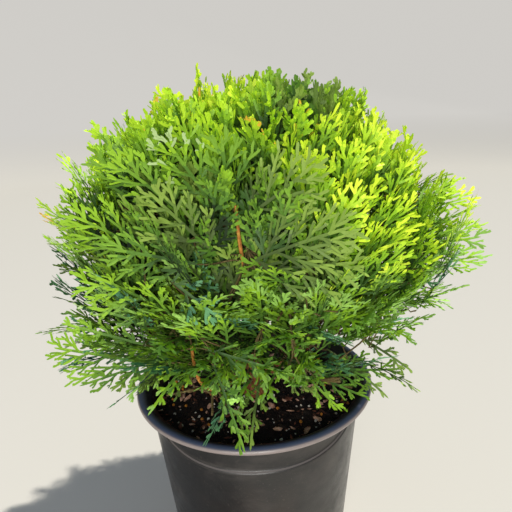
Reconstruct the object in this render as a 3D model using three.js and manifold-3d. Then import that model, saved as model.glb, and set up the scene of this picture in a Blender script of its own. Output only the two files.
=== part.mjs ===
import * as THREE from 'three';
import { mergeVertices } from 'three/addons/utils/BufferGeometryUtils.js';
import Module from 'manifold-3d';

// A globe-shaped thuja growing in a round plastic nursery pot.
// Millimetres, +Z up, the origin at the centre of the pot's flat underside, -Y is the front.

const wasm = await Module();
wasm.setup();

const { degToRad, radToDeg, lerp, clamp } = THREE.MathUtils;
const clearance = 0.3;

// Pot: a five-litre round pot with a rolled rim, and three long grip recesses under it.
const potHeight = 177;
const rimRadius = 115;
const rimDepth = 6;
const wallTopRadius = 103.5;
const footRadius = 87;
const wallThickness = 1.8;
const floorThickness = 2.4;
const footBevel = 2.5;
const recessCount = 3;
const recessTurn = -90;
const recessDepth = 2;
const recessHeight = 29;
const recessCusp = 2.5;
const recessRoundness = 2.6;
const ledgeRise = 2;
const potSides = 48;
const rimBottom = potHeight - rimDepth;
const innerTopRadius = wallTopRadius - recessDepth - wallThickness;

// Soil: it fills the pot to a little under the rim.
const soilTop = 157;
const soilSlope = 3;
const soilLump = 1.6;
const soilSides = 24;

// Trunk: upright with a slight lean, flared at the soil, whole to its tip inside the crown.
const trunkFoot = new THREE.Vector3(0, 0, soilTop + clearance);
const trunkTip = new THREE.Vector3(9, 3, 383);
const trunkFootRadius = 7;
const trunkTipRadius = 2.6;
const trunkFlare = 6;
const flareHeight = 9;
const trunkSides = 12;
const trunkSteps = 10;

// Crown: a flattened globe, a little to the right of the pot.
const crown = {
  centre: new THREE.Vector3(8, 0, 331),
  width: 171,
  rise: 131,
  drop: 140,
  roundness: 2,
  skirtFullness: 3,
};

// Where the crown's outline swells out of that globe or falls short of it, in degrees round
// from +X and up from level, with the change as a share of the reach.
const swells = [
  { azimuth: -22, elevation: 4, spread: 20, share: 0.09 },
  { azimuth: -15, elevation: 27, spread: 18, share: -0.07 },
  { azimuth: 200, elevation: 12, spread: 22, share: 0.05 },
  { azimuth: 75, elevation: 62, spread: 26, share: 0.04 },
  { azimuth: -90, elevation: 0, spread: 34, share: -0.04 },
  { azimuth: -112, elevation: 0, spread: 15, share: -0.14 },
  { azimuth: -76, elevation: -13, spread: 12, share: -0.12 },
];

// Rings of boughs, each bough with its mass of foliage, from the top down.
const rings = [
  { name: 'crown_upper', count: 5, elevation: 47, turn: -62 },
  { name: 'crown_middle', count: 8, elevation: 12, turn: -101 },
  { name: 'crown_lower', count: 7, elevation: -24, turn: -78 },
  { name: 'skirt', count: 5, elevation: -56, turn: -126 },
];
const boughReach = 0.38;
const stemReach = 0.76;
const stemLift = 9;
const boughRadius = 3.2;
const boughTipRadius = 2;
const boughSides = 6;
const boughSteps = 3;
const curveHandle = 0.35;
const boughClimb = [0.1, 0.8];
const lowestBough = 12;
const boughSpacing = 6.9;
const skirtBoughReach = 50;
const skirtBoughHeight = 194;
const skirtStemReach = 106;
const skirtStemHeight = 216;
const coreDistance = 0.56;
const coreDepth = 0.17;
const coreBreadth = 0.19;
const coreShrink = 0.92;
const coreTries = 9;

// Sprays: flat toothed fans, larger than life, whose tips lie evenly over the crown's outline.
const sprayCount = 162;
const skirtSprayCount = 20;
const skirtSprayHeights = [186, 240];
const skirtSprayReaches = [112, 168];
const lowestSpray = -42;
const sprayScatter = 0.1;
const sprayDepth = 0.13;
const sprayStandOut = 0.04;
const shortestSpray = 46;
const shortestSkirtSpray = 30;
const longestSpray = 108;
const sprayWidth = 0.78;
const sprayThickness = 1.2;
const sprayRoot = 0.8;
const sprayRib = 0.2;
const sprayApart = 7;
const turnCost = 0.7;
const sprayRoll = 36;
const topSprayRoll = 80;
const rollTries = 7;
const rollStep = 24;
const spraySizes = [1, 0.8, 0.62, 0.48];
const clearFrom = 0.3;
const longSpray = 92;
const twigCount = 2;
const twigStart = 0.3;
const twigApart = 0.16;
const twigShare = 0.42;
const twigRadius = 1.9;
const twigTipRadius = 1.3;

// Sprays that stand out of the round, each by the place of its tip.
const leaders = [
  { name: 'left spire', tip: [-33, -6, 468] },
  { name: 'middle spire', tip: [-6, -4, 463] },
  { name: 'back crest', tip: [60, 42, 459] },
  { name: 'right crest', tip: [112, 18, 441] },
  { name: 'right shoulder', tip: [190, -34, 343] },
  { name: 'right point', tip: [200, -44, 322] },
  { name: 'right underside', tip: [172, -46, 262] },
  { name: 'left shoulder', tip: [-170, -26, 361] },
  { name: 'left point', tip: [-186, -34, 250] },
  { name: 'left low spray', tip: [-172, -52, 222] },
  { name: 'left rim spray', tip: [-127, -62, 189] },
  { name: 'front rim spray', tip: [-9, -124, 184] },
  { name: 'right rim spray', tip: [120, -62, 184] },
  { name: 'right low spray', tip: [140, -58, 204] },
];

const seed = 1209;

// Finishes
const potPlastic = finish(0x1b1b1d, 0.42);
const soilFinish = finish(0x2a1d16, 0.95);
const barkFinish = finish(0x7a4a2c, 0.85);
const foliageTop = finish(0x9dc52b, 0.6);
const foliageMiddle = finish(0x5f8f2c, 0.6);
const foliageLow = finish(0x2f6b3a, 0.6);

function finish(colour, roughness) {
  return new THREE.MeshStandardMaterial({ color: colour, roughness, metalness: 0, flatShading: true });
}

// Seeded random numbers from 0 to 1.
function makeRandom(start) {
  let state = start >>> 0;
  return () => {
    state = (state + 0x6d2b79f5) >>> 0;
    let mixed = Math.imul(state ^ (state >>> 15), state | 1);
    mixed = (mixed + Math.imul(mixed ^ (mixed >>> 7), mixed | 61)) ^ mixed;
    return ((mixed ^ (mixed >>> 14)) >>> 0) / 4294967296;
  };
}

// A geometry as a solid that can be joined and cut, and back.
function solid(geometry) {
  const bare = geometry.clone();
  bare.deleteAttribute('normal');
  bare.deleteAttribute('uv');
  const merged = mergeVertices(bare);
  return new wasm.Manifold(new wasm.Mesh({
    numProp: 3,
    vertProperties: new Float32Array(merged.attributes.position.array),
    triVerts: new Uint32Array(merged.index.array),
  }));
}

function geometryOf(body) {
  const mesh = body.getMesh();
  const geometry = new THREE.BufferGeometry();
  geometry.setAttribute('position', new THREE.BufferAttribute(mesh.vertProperties, 3));
  geometry.setIndex(new THREE.BufferAttribute(mesh.triVerts, 1));
  geometry.computeVertexNormals();
  return geometry;
}

// A unit direction from degrees round from +X and up from level.
function aim(azimuth, elevation) {
  const level = Math.cos(degToRad(elevation));
  const turn = degToRad(azimuth);
  return new THREE.Vector3(level * Math.cos(turn), level * Math.sin(turn), Math.sin(degToRad(elevation)));
}

// How far the crown reaches from its centre in a direction.
function crownReach(direction) {
  const upright = direction.z > 0 ? crown.rise : crown.drop;
  const fullness = direction.z > 0 ? crown.roundness : crown.skirtFullness;
  const level = Math.hypot(direction.x, direction.y) / crown.width;
  const round = (level ** fullness + Math.abs(direction.z / upright) ** fullness) ** (-1 / fullness);
  let swell = 0;
  for (const each of swells) {
    const away = radToDeg(direction.angleTo(aim(each.azimuth, each.elevation))) / each.spread;
    swell += each.share * Math.exp(-away * away);
  }
  return round * (1 + swell);
}

function crownPoint(direction, share) {
  return crown.centre.clone().addScaledVector(direction, share * crownReach(direction));
}

// A limb along a curve, its radius following radiusAt from 0 at the root to 1 at the tip.
function limb(curve, radiusAt, sides, steps) {
  const geometry = new THREE.CylinderGeometry(1, 1, 1, sides, steps);
  const frames = curve.computeFrenetFrames(steps, false);
  const places = geometry.attributes.position;
  for (let i = 0; i < places.count; i++) {
    const step = Math.round((places.getY(i) + 0.5) * steps);
    const share = step / steps;
    const radius = radiusAt(share);
    const point = curve.getPointAt(share)
      .addScaledVector(frames.normals[step], places.getX(i) * radius)
      .addScaledVector(frames.binormals[step], -places.getZ(i) * radius);
    places.setXYZ(i, point.x, point.y, point.z);
  }
  return geometry;
}

// Pot

const wallRadius = (z) => lerp(footRadius, wallTopRadius, z / rimBottom);

// How full a grip recess is at a place round the pot, from 0 at its ends to 1 at its middle.
function recessShare(azimuth) {
  const place = ((azimuth - recessTurn) * recessCount / 360 + 100.5) % 1;
  return Math.sqrt(1 - Math.abs(place * 2 - 1) ** recessRoundness);
}

function potGeometry() {
  const profile = [
    [0, 0],
    [footRadius - footBevel, 0],
    [footRadius, footBevel],
    [wallTopRadius, rimBottom - recessHeight],
    [wallTopRadius, rimBottom - recessHeight + ledgeRise],
    [wallTopRadius, rimBottom],
    [rimRadius - 1.6, rimBottom],
    [rimRadius, rimBottom + 1.5],
    [rimRadius - 0.3, rimBottom + 3.4],
    [rimRadius - 2.4, potHeight - 0.6],
    [rimRadius - 5, potHeight],
    [rimRadius - 8.5, potHeight - 0.6],
    [innerTopRadius + 2, rimBottom + 1],
    [innerTopRadius, rimBottom - 3],
    [footRadius - wallThickness, floorThickness],
    [0, floorThickness],
  ];
  const ledgeLow = 3;
  const ledgeHigh = 4;
  const underRim = 5;
  const points = profile.map(([radius, z]) => new THREE.Vector2(radius, z));
  const geometry = new THREE.LatheGeometry(points, potSides);
  geometry.rotateX(Math.PI / 2);
  const places = geometry.attributes.position;
  for (let i = 0; i < places.count; i++) {
    const ring = i % points.length;
    if (ring < ledgeLow || ring > underRim) continue;
    const direction = new THREE.Vector2(places.getX(i), places.getY(i)).normalize();
    const share = recessShare(radToDeg(direction.angle()));
    const depth = recessDepth * Math.min(1, share * 2.5);
    const low = rimBottom - lerp(recessCusp, recessHeight, share);
    const z = ring === underRim ? rimBottom : low + (ring === ledgeHigh ? ledgeRise : 0);
    const radius = wallRadius(z) - (ring === ledgeLow ? 0 : depth);
    places.setXYZ(i, direction.x * radius, direction.y * radius, z);
  }
  return geometry;
}

// The soil's own radius at a height, just clear of the pot's inside.
function soilRadius(z) {
  const share = (z - floorThickness) / (rimBottom - 3 - floorThickness);
  return (lerp(footRadius - wallThickness, innerTopRadius, share) - clearance) * Math.cos(Math.PI / potSides);
}

function soilGeometry() {
  const random = makeRandom(seed + 7);
  const bottom = floorThickness + clearance;
  const edge = soilTop - soilSlope;
  const profile = [
    [0, bottom],
    [soilRadius(bottom), bottom],
    [soilRadius(edge), edge],
    [80, soilTop - 1.5],
    [52, soilTop - 0.6],
    [26, soilTop],
    [0, soilTop],
  ];
  const lumpyRings = [3, 4];
  const points = profile.map(([radius, z]) => new THREE.Vector2(radius, z));
  const geometry = new THREE.LatheGeometry(points, soilSides);
  geometry.rotateX(Math.PI / 2);
  const lumps = Array.from({ length: soilSides * points.length }, () => (random() - 0.7) * soilLump);
  const places = geometry.attributes.position;
  for (let i = 0; i < places.count; i++) {
    if (!lumpyRings.includes(i % points.length)) continue;
    places.setZ(i, places.getZ(i) + lumps[i % lumps.length]);
  }
  return geometry;
}

// Limbs

function trunkCurve() {
  const height = trunkTip.z - trunkFoot.z;
  return new THREE.CubicBezierCurve3(
    trunkFoot,
    trunkFoot.clone().add(new THREE.Vector3(0, 0, height * curveHandle)),
    trunkTip.clone().add(new THREE.Vector3(-2, -5, -height * curveHandle)),
    trunkTip,
  );
}

function trunkRadius(share) {
  const height = share * (trunkTip.z - trunkFoot.z);
  return lerp(trunkFootRadius, trunkTipRadius, share) + trunkFlare * Math.exp(-height / flareHeight);
}

// Every mass of foliage: its direction from the crown's centre, and where its bough and stem end.
function planMasses() {
  const top = aim(0, 90);
  const masses = [{
    name: 'crown_top',
    direction: top,
    boughTip: trunkTip.clone(),
    stemTip: crownPoint(top, stemReach),
    rise: 1,
  }];
  for (const ring of rings) {
    for (let i = 0; i < ring.count; i++) {
      const azimuth = ring.turn + i * 360 / ring.count;
      const direction = aim(azimuth, ring.elevation);
      const mass = { name: `${ring.name}_${i + 1}`, direction, rise: ring.elevation / 90, ring, place: i };
      if (ring.name === 'skirt') {
        const level = aim(azimuth, 0);
        mass.boughTip = level.clone().multiplyScalar(skirtBoughReach).setZ(skirtBoughHeight);
        mass.stemTip = level.clone().multiplyScalar(skirtStemReach).setZ(skirtStemHeight);
        mass.boughTip.x += crown.centre.x;
        mass.stemTip.x += crown.centre.x;
      } else {
        mass.boughTip = crownPoint(aim(azimuth, ring.elevation - stemLift), boughReach);
        mass.stemTip = crownPoint(aim(azimuth, ring.elevation + stemLift / 2), stemReach);
      }
      masses.push(mass);
    }
  }
  return masses;
}

// Boughs leave the trunk one above another, those of the lowest ring first. Neighbours in a ring
// leave at heights well apart.
function boughHeight(mass) {
  const upwards = [...rings].reverse();
  const below = upwards.slice(0, upwards.indexOf(mass.ring)).reduce((sum, ring) => sum + ring.count, 0);
  const order = mass.ring.count % 3 ? 3 : 5;
  return trunkFoot.z + lowestBough + boughSpacing * (below + (mass.place * order) % mass.ring.count);
}

// A bough turns from the trunk to point along its mass's stem.
function boughCurve(mass, trunk) {
  const tip = mass.boughTip;
  const share = (boughHeight(mass) - trunkFoot.z) / (trunkTip.z - trunkFoot.z);
  const root = trunk.getPointAt(share);
  const span = tip.distanceTo(root);
  const out = new THREE.Vector3(tip.x - root.x, tip.y - root.y, 0).normalize();
  const climb = clamp((tip.z - root.z) / span, ...boughClimb);
  const start = out.clone().setZ(climb).normalize();
  const end = mass.stemTip.clone().sub(tip).normalize();
  return new THREE.CubicBezierCurve3(
    root,
    root.clone().addScaledVector(start, span * curveHandle),
    tip.clone().addScaledVector(end, -span * curveHandle),
    tip,
  );
}

// Foliage

// True where every point is inside the mass's own cone of the crown.
function insideSpace(points, mass, masses) {
  return points.every((point) => {
    const place = point.clone().sub(crown.centre);
    return masses.every((other) => {
      if (other === mass) return true;
      const across = mass.direction.clone().sub(other.direction).normalize();
      return place.dot(across) > clearance;
    });
  });
}

function nearestMass(direction, masses) {
  return masses.reduce((best, each) => (
    each.direction.dot(direction) > best.direction.dot(direction) ? each : best
  ));
}

// Tips spread evenly over the crown by the golden angle, then scattered a little.
function sprayTips(masses) {
  const random = makeRandom(seed);
  const lowest = Math.sin(degToRad(lowestSpray));
  const goldenAngle = Math.PI * (3 - Math.sqrt(5));
  const tips = [];
  for (let i = 0; i < sprayCount; i++) {
    const height = lerp(1, lowest, (i + 0.5) / sprayCount);
    const level = Math.sqrt(1 - height * height);
    const scatter = [random(), random(), random()].map((value) => (value - 0.5) * 2 * sprayScatter);
    const direction = new THREE.Vector3(
      level * Math.cos(i * goldenAngle) + scatter[0],
      level * Math.sin(i * goldenAngle) + scatter[1],
      height + scatter[2],
    ).normalize();
    const share = 1 + sprayStandOut - sprayDepth * random();
    tips.push({ place: crownPoint(direction, share), roll: random() * 2 - 1 });
  }
  for (let i = 0; i < skirtSprayCount; i++) {
    const reach = lerp(...skirtSprayReaches, random());
    const height = lerp(...skirtSprayHeights, random());
    const level = aim(i * 360 / skirtSprayCount + random() * 12, 0).multiplyScalar(reach);
    tips.push({ place: level.setZ(height), roll: random() * 2 - 1 });
  }
  // The leaders come first, so that no other spray takes their room.
  tips.unshift(...leaders.map((leader) => (
    { place: new THREE.Vector3(...leader.tip), roll: random() * 2 - 1 }
  )));
  for (const tip of tips) {
    tip.direction = tip.place.clone().sub(crown.centre).normalize();
    tip.mass = nearestMass(tip.direction, masses);
  }
  return tips;
}

// The stem, its side twigs and the sprays on them, as places only.
function growMass(mass, tips) {
  const own = tips.filter((tip) => tip.mass === mass);
  const along = mass.stemTip.clone().sub(mass.boughTip);
  const stemRoot = mass.boughTip.clone().addScaledVector(along.clone().normalize(), clearance);
  const shoots = [{ from: stemRoot, to: mass.stemTip }];
  for (let i = 0; i < twigCount; i++) {
    const from = stemRoot.clone().lerp(mass.stemTip, twigStart + twigApart * i);
    const wanted = own[Math.floor(i * own.length / twigCount)];
    if (!wanted) continue;
    shoots.push({ from, to: from.clone().lerp(wanted.place, twigShare) });
  }
  return { shoots, own };
}

// The nearest free place on the shoots from which a spray can grow outwards to its tip.
function bestRoot(tip, shoots, taken, shortest) {
  let best = null;
  for (const shoot of shoots) {
    const steps = Math.ceil(shoot.from.distanceTo(shoot.to) / sprayApart);
    for (let i = 1; i <= steps; i++) {
      const place = shoot.from.clone().lerp(shoot.to, (i - 0.3) / steps);
      if (taken.some((other) => other.distanceTo(place) < sprayApart * 0.8)) continue;
      const grown = shoot.to.clone().sub(shoot.from).normalize();
      const wanted = tip.clone().sub(place);
      const length = wanted.length();
      const turn = 1 - wanted.normalize().dot(grown);
      const cost = length * (1 + turnCost * turn);
      if (length > shortest && (!best || cost < best.cost)) best = { cost, place };
    }
  }
  return best ? best.place : shoots[0].from.clone().lerp(shoots[0].to, 0.5);
}

function sprayOn(root, tip) {
  const axis = tip.place.clone().sub(root);
  const length = Math.min(axis.length(), longestSpray);
  axis.normalize();
  const level = new THREE.Vector3(0, 0, 1).cross(axis);
  const facing = axis.clone().cross(tip.direction);
  const side = facing.length() > 0.25 ? facing.normalize() : level.normalize();
  const topness = clamp((tip.direction.z - 0.3) / 0.5, 0, 1);
  const roll = degToRad(tip.roll * lerp(sprayRoll, topSprayRoll, topness));
  side.applyAxisAngle(axis, roll);
  return { root, axis, side, length };
}

// A toothed fan: its outline runs up one side and down the other, from a share of its length on.
function sprayGeometry(spray, size, start = 0) {
  const { length } = spray;
  const teeth = length * size > longSpray ? 3 : 2;
  const half = length * size * sprayWidth / 2;
  const edge = [];
  for (let i = 0; i < teeth; i++) {
    const share = (i + 1) / (teeth + 1);
    const reach = half * Math.sin(Math.PI * lerp(0.36, 0.86, i / teeth));
    edge.push([length * lerp(0.26, 0.94, share) + half * 0.12, reach]);
    edge.push([length * lerp(0.3, 0.94, share) + half * 0.16, half * sprayRib * (1.5 - share)]);
  }
  const root = start > 0 ? start * length : -sprayRoot;
  const outline = [[root, 0], ...edge, [length, 0], ...edge.map(([x, y]) => [x, -y]).reverse()];
  const shape = new THREE.Shape(outline.map(([x, y]) => new THREE.Vector2(x, y)));
  const geometry = new THREE.ExtrudeGeometry(shape, { depth: sprayThickness, bevelEnabled: false });
  geometry.translate(0, 0, -sprayThickness / 2);
  const normal = spray.axis.clone().cross(spray.side);
  const placed = new THREE.Matrix4().makeBasis(spray.axis, spray.side, normal).setPosition(spray.root);
  return geometry.applyMatrix4(placed);
}

function shootGeometry(shoot, radius, tipRadius, sides) {
  const curve = new THREE.LineCurve3(shoot.from, shoot.to);
  return limb(curve, (share) => lerp(radius, tipRadius, share), sides, 1);
}

function cornersOf(geometry) {
  const places = geometry.attributes.position;
  return Array.from({ length: places.count }, (_, i) => new THREE.Vector3().fromBufferAttribute(places, i));
}

// The dense heart of a mass, smaller than its space, as large as its space allows.
function coreSolid(mass, masses) {
  const heart = crownPoint(mass.direction, coreDistance);
  const reach = crownReach(mass.direction);
  const turn = new THREE.Quaternion().setFromUnitVectors(new THREE.Vector3(0, 0, 1), mass.direction);
  for (let i = 0; i < coreTries; i++) {
    const share = coreShrink ** i;
    const geometry = new THREE.IcosahedronGeometry(1, 0)
      .scale(coreBreadth * reach * share, coreBreadth * reach * share, coreDepth * reach)
      .applyQuaternion(turn)
      .translate(heart.x, heart.y, heart.z);
    if (insideSpace(cornersOf(geometry), mass, masses)) return solid(geometry);
  }
  return null;
}

// One mass as one solid: a twig or spray that leaves its space or touches a limb is left out, and
// a spray turns about its own axis until its blade is clear of the sprays before it.
function massSolid(mass, masses, tips, obstacles) {
  const { shoots, own } = growMass(mass, tips);
  const fits = (geometry, body) => (
    insideSpace(cornersOf(geometry), mass, masses) && body.intersect(obstacles).isEmpty()
  );
  const skirt = mass.ring?.name === 'skirt';
  const core = skirt ? null : coreSolid(mass, masses)?.subtract(obstacles);
  let body = solid(shootGeometry(shoots[0], boughTipRadius - 0.1, twigRadius, 6));
  const kept = [shoots[0]];
  for (const shoot of shoots.slice(1)) {
    const geometry = shootGeometry(shoot, twigRadius, twigTipRadius, 3);
    const twig = solid(geometry);
    if (!fits(geometry, twig)) continue;
    body = body.add(twig);
    kept.push(shoot);
  }
  const taken = [];
  for (const tip of own) {
    const root = bestRoot(tip.place, kept, taken, skirt ? shortestSkirtSpray : shortestSpray);
    const blade = fittingBlade(sprayOn(root, tip), body, core, fits);
    if (!blade) continue;
    body = body.add(blade);
    taken.push(root);
  }
  if (core) body = body.add(core);
  return body;
}

// The widest blade, turned about its axis as little as needed, that fits its space and crosses no
// other blade outside the core.
function fittingBlade(spray, growth, core, fits) {
  for (const size of spraySizes) {
    for (let i = 0; i < rollTries; i++) {
      const turn = rollStep * Math.ceil(i / 2) * (i % 2 ? 1 : -1);
      const side = spray.side.clone().applyAxisAngle(spray.axis, degToRad(turn));
      const turned = { ...spray, side };
      const geometry = sprayGeometry(turned, size);
      const blade = solid(geometry);
      if (!fits(geometry, blade)) continue;
      let outer = solid(sprayGeometry(turned, size, clearFrom));
      if (core) outer = outer.subtract(core);
      if (outer.intersect(growth).isEmpty()) return blade;
    }
  }
  return null;
}

// Assembly

const thuja = new THREE.Group();

function place(name, geometry, material) {
  const mesh = new THREE.Mesh(geometry, material);
  mesh.name = name;
  thuja.add(mesh);
}

const masses = planMasses();
const trunk = trunkCurve();
place('pot', potGeometry(), potPlastic);
place('soil', soilGeometry(), soilFinish);
place('trunk', limb(trunk, trunkRadius, trunkSides, trunkSteps), barkFinish);

const trunkRoom = solid(limb(trunk, (share) => trunkRadius(share) + clearance, trunkSides, trunkSteps));
let limbRoom = trunkRoom;
for (const mass of masses.slice(1)) {
  const curve = boughCurve(mass, trunk);
  const radiusAt = (share) => lerp(boughRadius, boughTipRadius, share);
  const bough = solid(limb(curve, radiusAt, boughSides, boughSteps)).subtract(trunkRoom);
  place(mass.name.replace('crown_', 'bough_').replace('skirt', 'bough_low'), geometryOf(bough), barkFinish);
  limbRoom = limbRoom.add(solid(limb(curve, (share) => radiusAt(share) + clearance, boughSides, boughSteps)));
}

// The pot and soil, grown a little, keep the lowest sprays off them.
const potRoomProfile = [
  [0, -1], [rimRadius + 1, -1], [rimRadius + 1, potHeight + 0.8], [rimRadius - 10, potHeight + 0.8],
  [innerTopRadius - 1, rimBottom - 4], [innerTopRadius - 3, soilTop + 1.2], [0, soilTop + 1.2],
];
const potRoomGeometry = new THREE.LatheGeometry(potRoomProfile.map((p) => new THREE.Vector2(...p)), potSides);
const obstacles = limbRoom.add(solid(potRoomGeometry.rotateX(Math.PI / 2)));

const tips = sprayTips(masses);
for (const mass of masses) {
  const material = mass.rise > 0.4 ? foliageTop : mass.rise > -0.1 ? foliageMiddle : foliageLow;
  place(mass.name, geometryOf(massSolid(mass, masses, tips, obstacles)), material);
}

export default thuja;
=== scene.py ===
import math
from collections import namedtuple
from random import Random

import bpy
import numpy as np
from mathutils import Matrix, Vector, noise


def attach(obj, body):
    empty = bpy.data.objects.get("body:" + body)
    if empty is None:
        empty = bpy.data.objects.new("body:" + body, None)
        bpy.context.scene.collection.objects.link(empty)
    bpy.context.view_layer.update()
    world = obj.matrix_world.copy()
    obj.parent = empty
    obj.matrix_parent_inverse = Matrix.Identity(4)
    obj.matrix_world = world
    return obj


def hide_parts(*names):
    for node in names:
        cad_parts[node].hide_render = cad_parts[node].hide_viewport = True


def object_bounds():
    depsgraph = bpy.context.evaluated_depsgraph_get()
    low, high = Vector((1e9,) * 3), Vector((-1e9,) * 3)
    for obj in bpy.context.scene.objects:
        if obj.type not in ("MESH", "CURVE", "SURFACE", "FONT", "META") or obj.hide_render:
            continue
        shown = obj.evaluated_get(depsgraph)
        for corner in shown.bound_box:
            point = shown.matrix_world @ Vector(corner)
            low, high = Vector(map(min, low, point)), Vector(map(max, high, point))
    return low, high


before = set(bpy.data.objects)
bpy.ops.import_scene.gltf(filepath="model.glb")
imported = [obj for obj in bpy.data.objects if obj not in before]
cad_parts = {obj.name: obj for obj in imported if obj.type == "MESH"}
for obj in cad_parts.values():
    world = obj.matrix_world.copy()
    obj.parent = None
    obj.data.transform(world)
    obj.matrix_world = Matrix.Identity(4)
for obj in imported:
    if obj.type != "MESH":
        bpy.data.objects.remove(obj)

# A globe-shaped thuja in a round plastic nursery pot.
# Sizes are millimetres in the frame of the solids; makeMesh turns them into metres.

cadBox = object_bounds()
mm = 0.001
seed = 1209
goldenAngle = math.pi * (3 - math.sqrt(5))
print("frame loaded:", len(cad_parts), "solids")


# Camera, at the viewpoint of the photograph

cameraSettings = {
    "place": (0, -451.7, 444.8),
    "yaw": 1.01,  # degrees to the right
    "pitch": 17.74,  # degrees down
    "roll": -2.86,
    "lens": 36,
    "sensor": 36,
}


def makeCamera(settings):
    yaw, pitch, roll = (math.radians(settings[key]) for key in ("yaw", "pitch", "roll"))
    forward = Vector((math.sin(yaw) * math.cos(pitch), math.cos(yaw) * math.cos(pitch), -math.sin(pitch)))
    level = Vector((math.cos(yaw), -math.sin(yaw), 0))
    upright = level.cross(forward)
    right = level * math.cos(roll) + upright * math.sin(roll)
    top = upright * math.cos(roll) - level * math.sin(roll)
    data = bpy.data.cameras.new("camera")
    data.lens = settings["lens"]
    data.sensor_width = settings["sensor"]
    data.clip_start = 0.02
    camera = bpy.data.objects.new("camera", data)
    turn = Matrix((right, top, -forward)).transposed().to_4x4()
    camera.matrix_world = Matrix.Translation(Vector(settings["place"]) * mm) @ turn
    bpy.context.collection.objects.link(camera)
    bpy.context.scene.camera = camera


makeCamera(cameraSettings)
print("camera placed")


# Small helpers for random numbers, directions and curves

def makeRandom(start):
    # the same numbers from 0 to 1 as the rule that grew the solids
    state = start & 0xFFFFFFFF

    def draw():
        nonlocal state
        state = (state + 0x6D2B79F5) & 0xFFFFFFFF
        mixed = ((state ^ (state >> 15)) * (state | 1)) & 0xFFFFFFFF
        mixed ^= (mixed + (((mixed ^ (mixed >> 7)) * (mixed | 61)) & 0xFFFFFFFF)) & 0xFFFFFFFF
        return ((mixed ^ (mixed >> 14)) & 0xFFFFFFFF) / 4294967296

    return draw


def lerp(low, high, share):
    return low + (high - low) * share


def clamp(value, low, high):
    return max(low, min(high, value))


def blend(value, low, high):
    # 0 below low, 1 above high
    return clamp((value - low) / (high - low), 0, 1)


def unit(vector):
    return vector / max(np.linalg.norm(vector), 1e-9)


def aim(azimuth, elevation):
    # degrees round from +X and up from level
    turn, rise = math.radians(azimuth), math.radians(elevation)
    return np.array((math.cos(rise) * math.cos(turn), math.cos(rise) * math.sin(turn), math.sin(rise)))


def turned(vector, axis, angle):
    # vector turned about a unit axis, angle in radians
    return (vector * math.cos(angle) + np.cross(axis, vector) * math.sin(angle)
            + axis * np.dot(axis, vector) * (1 - math.cos(angle)))


def bezier(points, steps):
    # points evenly along a cubic curve
    t = np.linspace(0, 1, 201)[:, None]
    a, b, c, d = (np.asarray(point, float) for point in points)
    path = (1 - t) ** 3 * a + 3 * (1 - t) ** 2 * t * b + 3 * (1 - t) * t ** 2 * c + t ** 3 * d
    run = np.concatenate(([0], np.cumsum(np.linalg.norm(np.diff(path, axis=0), axis=1))))
    wanted = np.linspace(0, run[-1], steps + 1)
    return np.stack([np.interp(wanted, run, path[:, i]) for i in range(3)], axis=1)


# Small helpers for meshes and materials

def makeMesh(name, corners, faces, materials, faceTint=None, smooth=True):
    # corners in millimetres; faces is an array of triangles or of quads
    faces = np.asarray(faces, np.int32)
    count, sides = faces.shape
    mesh = bpy.data.meshes.new(name)
    mesh.vertices.add(len(corners))
    mesh.vertices.foreach_set("co", (np.asarray(corners, np.float32) * mm).ravel())
    mesh.loops.add(count * sides)
    mesh.loops.foreach_set("vertex_index", faces.ravel())
    mesh.polygons.add(count)
    mesh.polygons.foreach_set("loop_start", np.arange(0, count * sides, sides, dtype=np.int32))
    for material in materials:
        mesh.materials.append(material)
    if faceTint is not None:
        mesh.polygons.foreach_set("material_index", np.asarray(faceTint, np.int32))
    mesh.polygons.foreach_set("use_smooth", np.full(count, smooth))
    mesh.update(calc_edges=True)
    mesh.validate()
    piece = bpy.data.objects.new(name, mesh)
    bpy.context.collection.objects.link(piece)
    return piece


def joined(parts):
    # [(corners, faces), ...] as one pair of arrays
    corners, faces, start = [], [], 0
    for partCorners, partFaces in parts:
        corners.append(partCorners)
        faces.append(np.asarray(partFaces) + start)
        start += len(partCorners)
    return np.concatenate(corners), np.concatenate(faces)


def circle(radius, z, sides):
    turns = [side * 2 * math.pi / sides for side in range(sides)]
    return [(radius * math.cos(turn), radius * math.sin(turn), z) for turn in turns]


def gridFaces(rows, columns):
    # quads between rings of points
    row, column = np.meshgrid(np.arange(rows - 1), np.arange(columns), indexing="ij")
    after = (column + 1) % columns
    near, far = row * columns, (row + 1) * columns
    quads = [near + column, near + after, far + after, far + column]
    return np.stack([quad.ravel() for quad in quads], axis=1)


def paint(red, green, blue):
    # screen colours from 0 to 255 as the shader's own
    shares = [value / 255 for value in (red, green, blue)]
    return tuple(s / 12.92 if s <= 0.04045 else ((s + 0.055) / 1.055) ** 2.4 for s in shares) + (1,)


def newMaterial(name, colour, roughness, specular=0.5):
    material = bpy.data.materials.new(name)
    material.use_nodes = True
    material.diffuse_color = colour
    shader = material.node_tree.nodes["Principled BSDF"]
    shader.inputs["Base Color"].default_value = colour
    shader.inputs["Roughness"].default_value = roughness
    shader.inputs["Specular IOR Level"].default_value = specular
    return material, material.node_tree, shader


def addNode(tree, kind, inputs, output=0, **settings):
    # a shader node's output; an input that is a socket is linked, and any other is a plain value
    node = tree.nodes.new("ShaderNode" + kind)
    for key, value in settings.items():
        setattr(node, key, value)
    for key, value in inputs.items():
        if isinstance(value, bpy.types.NodeSocket):
            tree.links.new(value, node.inputs[key])
        else:
            node.inputs[key].default_value = value
    return node.outputs[output]


def noiseNode(tree, size, detail, roughness=0.55, stretch=(1, 1, 1)):
    # noise whose grain is about size millimetres, stretched along x, y or z
    scale = [1 / (size * mm * share) for share in stretch]
    place = addNode(tree, "Mapping", {"Vector": addNode(tree, "TexCoord", {}, "Object"), "Scale": scale})
    inputs = {"Vector": place, "Scale": 1, "Detail": detail, "Roughness": roughness}
    return addNode(tree, "TexNoise", inputs, "Fac")


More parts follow.
